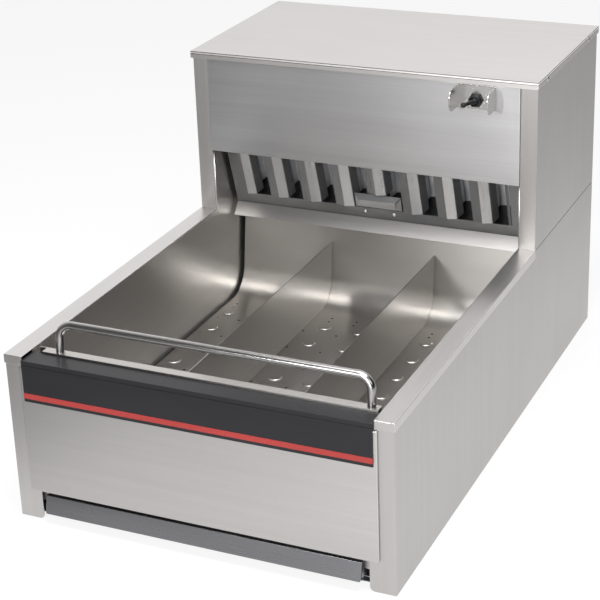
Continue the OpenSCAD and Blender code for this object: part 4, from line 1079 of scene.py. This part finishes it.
class WARMER_OT_filter(Undoable, Operator):
    """Finish the baffle filter"""
    bl_idname = "warmer.filter"
    bl_label = "Baffle filter"

    def row(self, sizes, section, count, first, foot):
        """One run of baffles in the filter's own frame."""
        pitch = sizes.baffle_pitch
        return grown("baffles", baffle_tree(), base_path("section", section), "baffle_steel", {
            "Count": count, "Pitch": pitch, "First": first, "Foot": foot,
            "Height": BAFFLE_TOP * MM - foot, "Sheet": sizes.baffle_sheet,
            "Fold": sizes.baffle_fold})

    def section(self, low, high, mirror_x=1, rear=False):
        """The folded section between two sideways limits, as a line of points."""
        line = []
        for (x0, w0), (x1, w1) in zip(BAFFLE_SECTION, BAFFLE_SECTION[1:]):
            a, b = max(x0, low), min(x1, high)
            for x in (a, b) if a < b else ():
                w = w0 + (w1 - w0) * (x - x0) / (x1 - x0)
                if not line or abs(line[-1][0] - x * mirror_x * MM) > 1e-6:
                    line.append((x * mirror_x * MM, (REAR_DEPTH - w if rear else w) * MM, 0.0))
        return line

    def execute(self, context):
        sizes = context.scene.warmer_sizes
        rounded("filter_frame", "filter_steel", "x", 0.5 * MM)
        rounded("filter_handle", "handle_steel", "x", 0.8 * MM)
        rounded("filter_top_channel", "zinc", "x")
        lean = moved_to(FILTER_PLACE) @ Matrix.Rotation(FILTER_LEAN, 4, "X")
        pitch, shift, foot = sizes.baffle_pitch, BAFFLE_SHIFT * MM, BAFFLE_FOOT * MM
        full = self.section(-BAFFLE_WHOLE, BAFFLE_WHOLE)
        edge = WINDOW_HALF * MM
        end = 4 * pitch + shift
        start = min(0, (edge - 4 * pitch + shift) / MM)
        front = [self.row(sizes, full, 3, shift - 3 * pitch, foot),
                 self.row(sizes, full, 3, shift + pitch, foot),
                 self.row(sizes, full, 1, shift, HANDLE_CLEAR * MM),
                 self.row(sizes, self.section(-BAFFLE_WHOLE, (edge - end) / MM), 1, end, foot),
                 self.row(sizes, self.section(-BAFFLE_WHOLE, start, -1), 1,
                          shift - 4 * pitch, foot)]
        rear_full = self.section(-BAFFLE_WHOLE, BAFFLE_WHOLE, rear=True)
        last = 3.5 * pitch + shift
        rear = [self.row(sizes, rear_full, 7, shift - 3.5 * pitch, foot),
                self.row(sizes, self.section(-BAFFLE_WHOLE, (edge - last) / MM, rear=True), 1,
                         last, foot)]
        for node, pieces, finish in (("filter_front_baffles", front, "baffle_steel"),
                                     ("filter_rear_baffles", rear, "inner_baffle_steel")):
            piece = joined(node + "_finished", pieces)
            piece.data.transform(lean)
            settle(piece, finish, node, "z", 30.0)
        values = {"Head radius": sizes.rivet_radius, "Head height": sizes.rivet_height,
                  "Dome radius": 3.2 * MM, "Shank radius": 1.55 * MM, "Shank length": 2.2 * MM,
                  "Recess": False, "Recess length": MM, "Recess width": MM, "Recess depth": MM}
        ahead = -(lean.to_3x3() @ Vector((0, 1, 0)))
        fasteners("filter_rivets", lambda middle: ahead, values)
        return {"FINISHED"}


class WARMER_OT_switch(Undoable, Operator):
    """Finish the switch, its boot and its guard"""
    bl_idname = "warmer.switch"
    bl_label = "Switch"

    def execute(self, context):
        # The guard's sideways ears are painted darker: painted shade
        rounded("switch_guard", "guard_steel", "x", 0.5 * MM, painted_side_shade=0.75)
        outward = Matrix.Rotation(math.pi / 2, 4, "X")
        boot = lathe("toggle_boot_finished", [(r * MM, z * MM) for r, z in BOOT_PROFILE],
                     72, True)
        six_sided(boot.data, BOOT_CORNER * MM, BOOT_CONE * MM)
        boot.data.transform(moved_to(BOOT_PLACE) @ outward)
        settle(boot, "rubber", "toggle_boot")
        profile = [(0, -LEVER_FLAT)]
        for step in range(12):
            angle = math.radians(-4.6 + 4.8 * step)
            profile.append((LEVER_BALL * math.cos(angle), LEVER_BALL * math.sin(angle)))
        profile += LEVER_STEM
        for step in range(10):
            angle = math.radians(-20 + 11 * step)
            profile.append((LEVER_TIP * math.cos(angle),
                            LEVER_TIP_HEIGHT + LEVER_TIP * math.sin(angle)))
        profile.append((0, LEVER_TIP_HEIGHT + LEVER_TIP))
        lever = lathe("toggle_lever_finished", [(r * MM, z * MM) for r, z in profile], 48)
        turn = Matrix.Rotation(-LEVER_TILT, 4, "Z") @ outward
        lever.data.transform(moved_to(LEVER_PLACE) @ turn)
        settle(lever, "rubber", "toggle_lever", smooth=60.0)
        keep_node("toggle_switch", "bakelite")
        keep_node("switch_nut", "brass")
        return {"FINISHED"}


class WARMER_OT_switch_marks(Undoable, Operator):
    """Etch the plain ring and bar beside the switch"""
    bl_idname = "warmer.switch_marks"
    bl_label = "Switch marks"

    def execute(self, context):
        x, y, z, reach, radius, width, depth = (value * MM for value in MARKS_PLACE + (
            MARK_REACH, MARK_RADIUS, MARK_WIDTH, MARK_DEPTH))
        bm = bmesh.new()

        def outline(size):
            turns = (2 * math.pi * k / RING_SIDES for k in range(RING_SIDES))
            return [bm.verts.new((x - reach + size * math.cos(turn), y,
                                  z + size * math.sin(turn))) for turn in turns]

        inner, outer = outline(radius), outline(radius + width)
        for k in range(RING_SIDES):
            after = (k + 1) % RING_SIDES
            bm.faces.new((inner[k], inner[after], outer[after], outer[k]))
        bm.faces.new([bm.verts.new((x + reach + side * radius, y, z + rise * width / 2))
                      for side, rise in ((-1, -1), (-1, 1), (1, 1), (1, -1))])
        back = bmesh.ops.extrude_face_region(bm, geom=list(bm.faces), use_keep_orig=True)
        bmesh.ops.translate(bm, vec=(0.0, depth, 0.0), verts=[
            item for item in back["geom"] if isinstance(item, bmesh.types.BMVert)])
        bmesh.ops.recalc_face_normals(bm, faces=bm.faces)
        settle(as_object("switch_marks", bm), "etched_grey")
        return {"FINISHED"}


class WARMER_OT_air_path(Undoable, Operator):
    """Finish the blower, the duct and the heating elements"""
    bl_idname = "warmer.air_path"
    bl_label = "Air path"

    def execute(self, context):
        sizes = context.scene.warmer_sizes
        for node in ("blower_deck", "air_duct", "control_shelf"):
            rounded(node, "zinc", "x")
        rounded("blower_housing", "zinc", "x", 0.3 * MM)
        wide, out, bore, hub, chord, camber = (value * MM for value in (
            WHEEL_WIDTH, WHEEL_RADIUS, WHEEL_BORE, WHEEL_HUB, BLADE_CHORD, BLADE_CAMBER))
        half = wide / 2
        cos, sin = math.cos(BLADE_SLANT), math.sin(BLADE_SLANT)
        line = []
        for step in range(BLADE_STEPS + 1):
            t = 2 * step / BLADE_STEPS - 1
            x, y = t * chord, camber * (1 - t * t)
            line.append((x * cos - y * sin, x * sin + y * cos, 0.0))
        blades = grown("blades", blade_tree(), base_path("blade", line), "zinc", {
            "Count": sizes.blade_count, "Radius": out - BLADE_INSET * MM, "Foot": MM - half,
            "Height": wide - 2 * MM, "Sheet": sizes.blade_sheet})
        front, face = half - HUB_LENGTH * MM, half - BACK_SHEET * MM
        back = lathe("back", [(bore, front), (hub, front), (hub, face), (out, face),
                              (out, half), (bore, half)], WHEEL_SIDES, True)
        inner, depth = out - INLET_RING * MM, INLET_DEPTH * MM - half
        ring = lathe("ring", [(inner, -half), (out, -half), (out, depth), (inner, depth)],
                     WHEEL_SIDES, True)
        wheel = joined("blower_wheel_finished", [blades, back, ring])
        wheel.data.transform(moved_to(WHEEL_PLACE) @ Matrix.Rotation(math.pi / 2, 4, "Y"))
        settle(wheel, "zinc", "blower_wheel")
        keep_node("motor_shaft", "hardware")
        keep_node("blower_motor", "motor_paint")
        for node in ("upper_heating_element", "lower_heating_element"):
            keep_node(node, "sheath")
        keep_node("element_flange", "hardware")
        return {"FINISHED"}


class WARMER_OT_controls(Undoable, Operator):
    """Finish the thermostat, the limit switch, the terminal block and the cord gland"""
    bl_idname = "warmer.controls"
    bl_label = "Controls"

    def execute(self, context):
        for node in ("high_limit_switch", "thermostat", "terminal_block"):
            keep_node(node, "bakelite")
        for node in ("cord_gland", "cord_gland_nut"):
            keep_node(node, "nylon")
        return {"FINISHED"}


# Stage

CAMERA_PLACE = (0.788629, -1.779526, 1.017144)
CAMERA_RIGHT = (0.911724572, 0.409396003, -0.033959056)
CAMERA_DOWN = (0.127996180, -0.361649784, -0.923486010)
CAMERA_AHEAD = (-0.390352767, 0.837618258, -0.382126119)
FOCAL_PIXELS = 1711.7555
IMAGE_PIXELS = 600.0
SENSOR = 36.0
AXIS_RISE_PIXELS = 48.0
FLOOR_HALF, FLOOR_LEVEL = 9.0, -0.0004
LAMP_TARGET = (0.0, 0.0, 0.15)

# Glows of the room and painted shades of the floor: the way they lie, and where along it they
# start and are full
GLOWS = (("rear_glow", (-0.35, 0.85, 0.45), 0.1, 0.95),
         ("left_glow", (-1.0, 0.0, 0.3), 0.3, 0.97))
PAST_LEFT = ((-0.834, -0.551, 0.0), 0.43, 0.62)
PAST_FRONT = ((0.362, -0.932, 0.0), 0.44, 0.62)
PAST_RIGHT = ((0.966, 0.2586, 0.0), 0.45, 0.85)
TOWARD_LEFT = ((-1.0, 0.0, 0.0), -0.15, 0.6)
SOFT_BOXES = (("overhead_right", (0.35, -0.5, 1.9), (0.55, 0.65), "overhead_lamps", 22.7),
              ("overhead_left", (-0.25, -0.5, 1.9), (0.55, 0.65), "overhead_lamps", 6.0),
              ("overhead_far_right", (0.8, -0.45, 1.9), (0.45, 0.5), "overhead_lamps", 9.0),
              ("overhead_front", (-0.25, -1.2, 1.9), (0.55, 0.65), "overhead_lamps", 2.8),
              ("low_front", (0.3, -2.3, 0.5), (0.8, 0.8), "front_lamps", 24.0),
              ("middle_front", (0.2, -2.1, 1.4), (0.8, 0.8), "front_lamps", 14.7),
              ("left_front", (-0.5, -2.15, 0.8), (0.18, 0.45), "front_lamps", 8.0),
              ("high_front", (0.9, -1.9, 1.9), (0.8, 0.8), "side_lamps", 5.0),
              ("right_front", (1.6, -1.4, 1.2), (0.8, 0.8), "side_lamps", 5.8))


def soft_box(name, place, target, size, power):
    lamp = bpy.data.lights.new(name, "AREA")
    lamp.shape = "RECTANGLE"
    lamp.size, lamp.size_y = size
    lamp.energy = power
    box = bpy.data.objects.new(name, lamp)
    box.location = place
    box.rotation_euler = (Vector(place) - Vector(target)).to_track_quat("Z", "Y").to_euler()
    box.visible_camera = False
    bpy.context.scene.collection.objects.link(box)
    return box


def background_rays(g):
    """1 where the ray is seen by the camera, or by metal or glass."""
    path = g.add("LightPath").outputs
    seen = g.math("MAXIMUM", path["Is Camera Ray"], path["Is Glossy Ray"])
    return g.math("MAXIMUM", seen, path["Is Transmission Ray"])


class WARMER_OT_stage(Undoable, Operator):
    """Make the floor, the lamps and the camera"""
    bl_idname = "warmer.stage"
    bl_label = "Stage"

    def floor(self, stage):
        """A wide white sheet whose glow is painted lower in its far parts: painted shade that the
        metal sees and the camera does not.
        """
        g = Graph(bpy.data.materials.new("studio_floor"))
        here = g.add("TexCoord").outputs["Object"]

        def beyond(way, low, high):
            reach = g.add("VectorMath", {0: here, 1: way}, operation="DOT_PRODUCT")
            return g.remap(reach.outputs["Value"], low, high)

        # Painted shade: the floor's glow is lowered past its edges, for the metal only
        ahead = g.math("MAXIMUM", beyond(*PAST_LEFT), beyond(*PAST_FRONT))
        left = beyond(*TOWARD_LEFT)
        right = beyond(*PAST_RIGHT)
        front = g.math("MULTIPLY_ADD", left, stage.front_left_floor - stage.front_right_floor,
                       stage.front_right_floor)
        near = g.math("MULTIPLY_ADD", g.math("SUBTRACT", front, 1.0), ahead, 1.0)
        level = g.math("MULTIPLY_ADD", g.math("SUBTRACT", stage.right_floor, near), right, near)
        level = g.math("MAXIMUM", level, g.add("LightPath").outputs["Is Camera Ray"])
        tone = stage.floor_tone
        plain = g.add("BsdfDiffuse", {"Color": (tone, tone, tone, 1.0)})
        white = g.add("Emission", {"Color": (1.0, 1.0, 1.0, 1.0), "Strength": level})
        share = g.math("MULTIPLY", background_rays(g), stage.floor_glow)
        floor_look = g.finish(g.add("MixShader", {0: share, 1: plain.outputs[0],
                                                  2: white.outputs[0]}))
        mesh = bpy.data.meshes.new("studio_floor")
        mesh.from_pydata([(x * FLOOR_HALF, y * FLOOR_HALF, 0) for x, y in
                          ((-1, -1), (1, -1), (1, 1), (-1, 1))], [], [(0, 1, 2, 3)])
        mesh.materials.append(floor_look)
        floor = bpy.data.objects.new("studio_floor", mesh)
        floor.location.z = FLOOR_LEVEL
        bpy.context.scene.collection.objects.link(floor)
        return floor

    def room(self, stage):
        """Room light: a sum of soft glows, each from its own side."""
        g = Graph(bpy.data.worlds.new("studio_room"))
        strength = stage.room
        way = g.add("TexCoord").outputs["Generated"]
        for name, toward, low, high in GLOWS:
            aim = g.add("VectorMath", {0: way, 1: Vector(toward).normalized()},
                        operation="DOT_PRODUCT").outputs["Value"]
            glow = g.remap(aim, low, high)
            glow = g.math("MULTIPLY", glow, glow)
            strength = g.math("MULTIPLY_ADD", glow, getattr(stage, name), strength)
        sky = g.add("Background", {"Color": (1.0, 1.0, 1.0, 1.0), "Strength": strength})
        return g.finish(sky, "OutputWorld")

    def execute(self, context):
        stage = context.scene.warmer_stage
        scene = context.scene
        if stage.show_floor:
            self.floor(stage)
        scene.world = self.room(stage)
        for name, place, size, group, power in SOFT_BOXES:
            target = LAMP_TARGET
            if group == "overhead_lamps":
                target = (0.2 * place[0], 0.2 * place[1], 0.1)
            soft_box(name, place, target, size, power * getattr(stage, group))
        lens = bpy.data.cameras.new("photo_camera")
        lens.sensor_width = SENSOR
        lens.lens = SENSOR * FOCAL_PIXELS / IMAGE_PIXELS
        lens.shift_y = -AXIS_RISE_PIXELS / IMAGE_PIXELS
        lens.clip_end = 50.0
        camera = bpy.data.objects.new("photo_camera", lens)
        right, down, ahead = (Vector(v) for v in (CAMERA_RIGHT, CAMERA_DOWN, CAMERA_AHEAD))
        turn = Matrix((right, -down, -ahead)).transposed()
        camera.matrix_world = Matrix.Translation(CAMERA_PLACE) @ turn.to_4x4()
        scene.collection.objects.link(camera)
        scene.camera = camera
        scene.view_settings.view_transform = "Standard"
        return {"FINISHED"}


PIECES = (WARMER_OT_side_panels, WARMER_OT_deck_caps, WARMER_OT_front, WARMER_OT_liner,
          WARMER_OT_guard_rail, WARMER_OT_crumb_tray, WARMER_OT_hood, WARMER_OT_screws,
          WARMER_OT_filter, WARMER_OT_switch, WARMER_OT_switch_marks, WARMER_OT_air_path,
          WARMER_OT_controls, WARMER_OT_stage)


class WARMER_PT_panel(Panel):
    """Lists the warmer's pieces, sizes and colours"""
    bl_idname = "WARMER_PT_panel"
    bl_label = "Chip warmer"
    bl_space_type = "VIEW_3D"
    bl_region_type = "UI"
    bl_category = "Chip warmer"

    def draw(self, context):
        layout = self.layout
        for group in ("warmer_sizes", "warmer_colours", "warmer_stage"):
            box = layout.box()
            settings = getattr(context.scene, group)
            for name in settings.__annotations__:
                box.prop(settings, name)
        for piece in PIECES:
            layout.operator(piece.bl_idname)


GROUPS = {"warmer_sizes": WarmerSizes, "warmer_colours": WarmerColours,
          "warmer_stage": WarmerStage}


def register():
    for group in GROUPS.values():
        bpy.utils.register_class(group)
    for operator in PIECES:
        bpy.utils.register_class(operator)
    bpy.utils.register_class(WARMER_PT_panel)
    for name, group in GROUPS.items():
        setattr(bpy.types.Scene, name, PointerProperty(type=group))


def unregister():
    for name in GROUPS:
        delattr(bpy.types.Scene, name)
    bpy.utils.unregister_class(WARMER_PT_panel)
    for operator in reversed(PIECES):
        bpy.utils.unregister_class(operator)
    for group in GROUPS.values():
        bpy.utils.unregister_class(group)


def plain(bounds):
    return [[float(value) for value in corner] for corner in bounds]


def main():
    register()
    for piece in PIECES:
        group, name = piece.bl_idname.split(".")
        getattr(getattr(bpy.ops, group), name)()


if __name__ == "__main__":
    main()
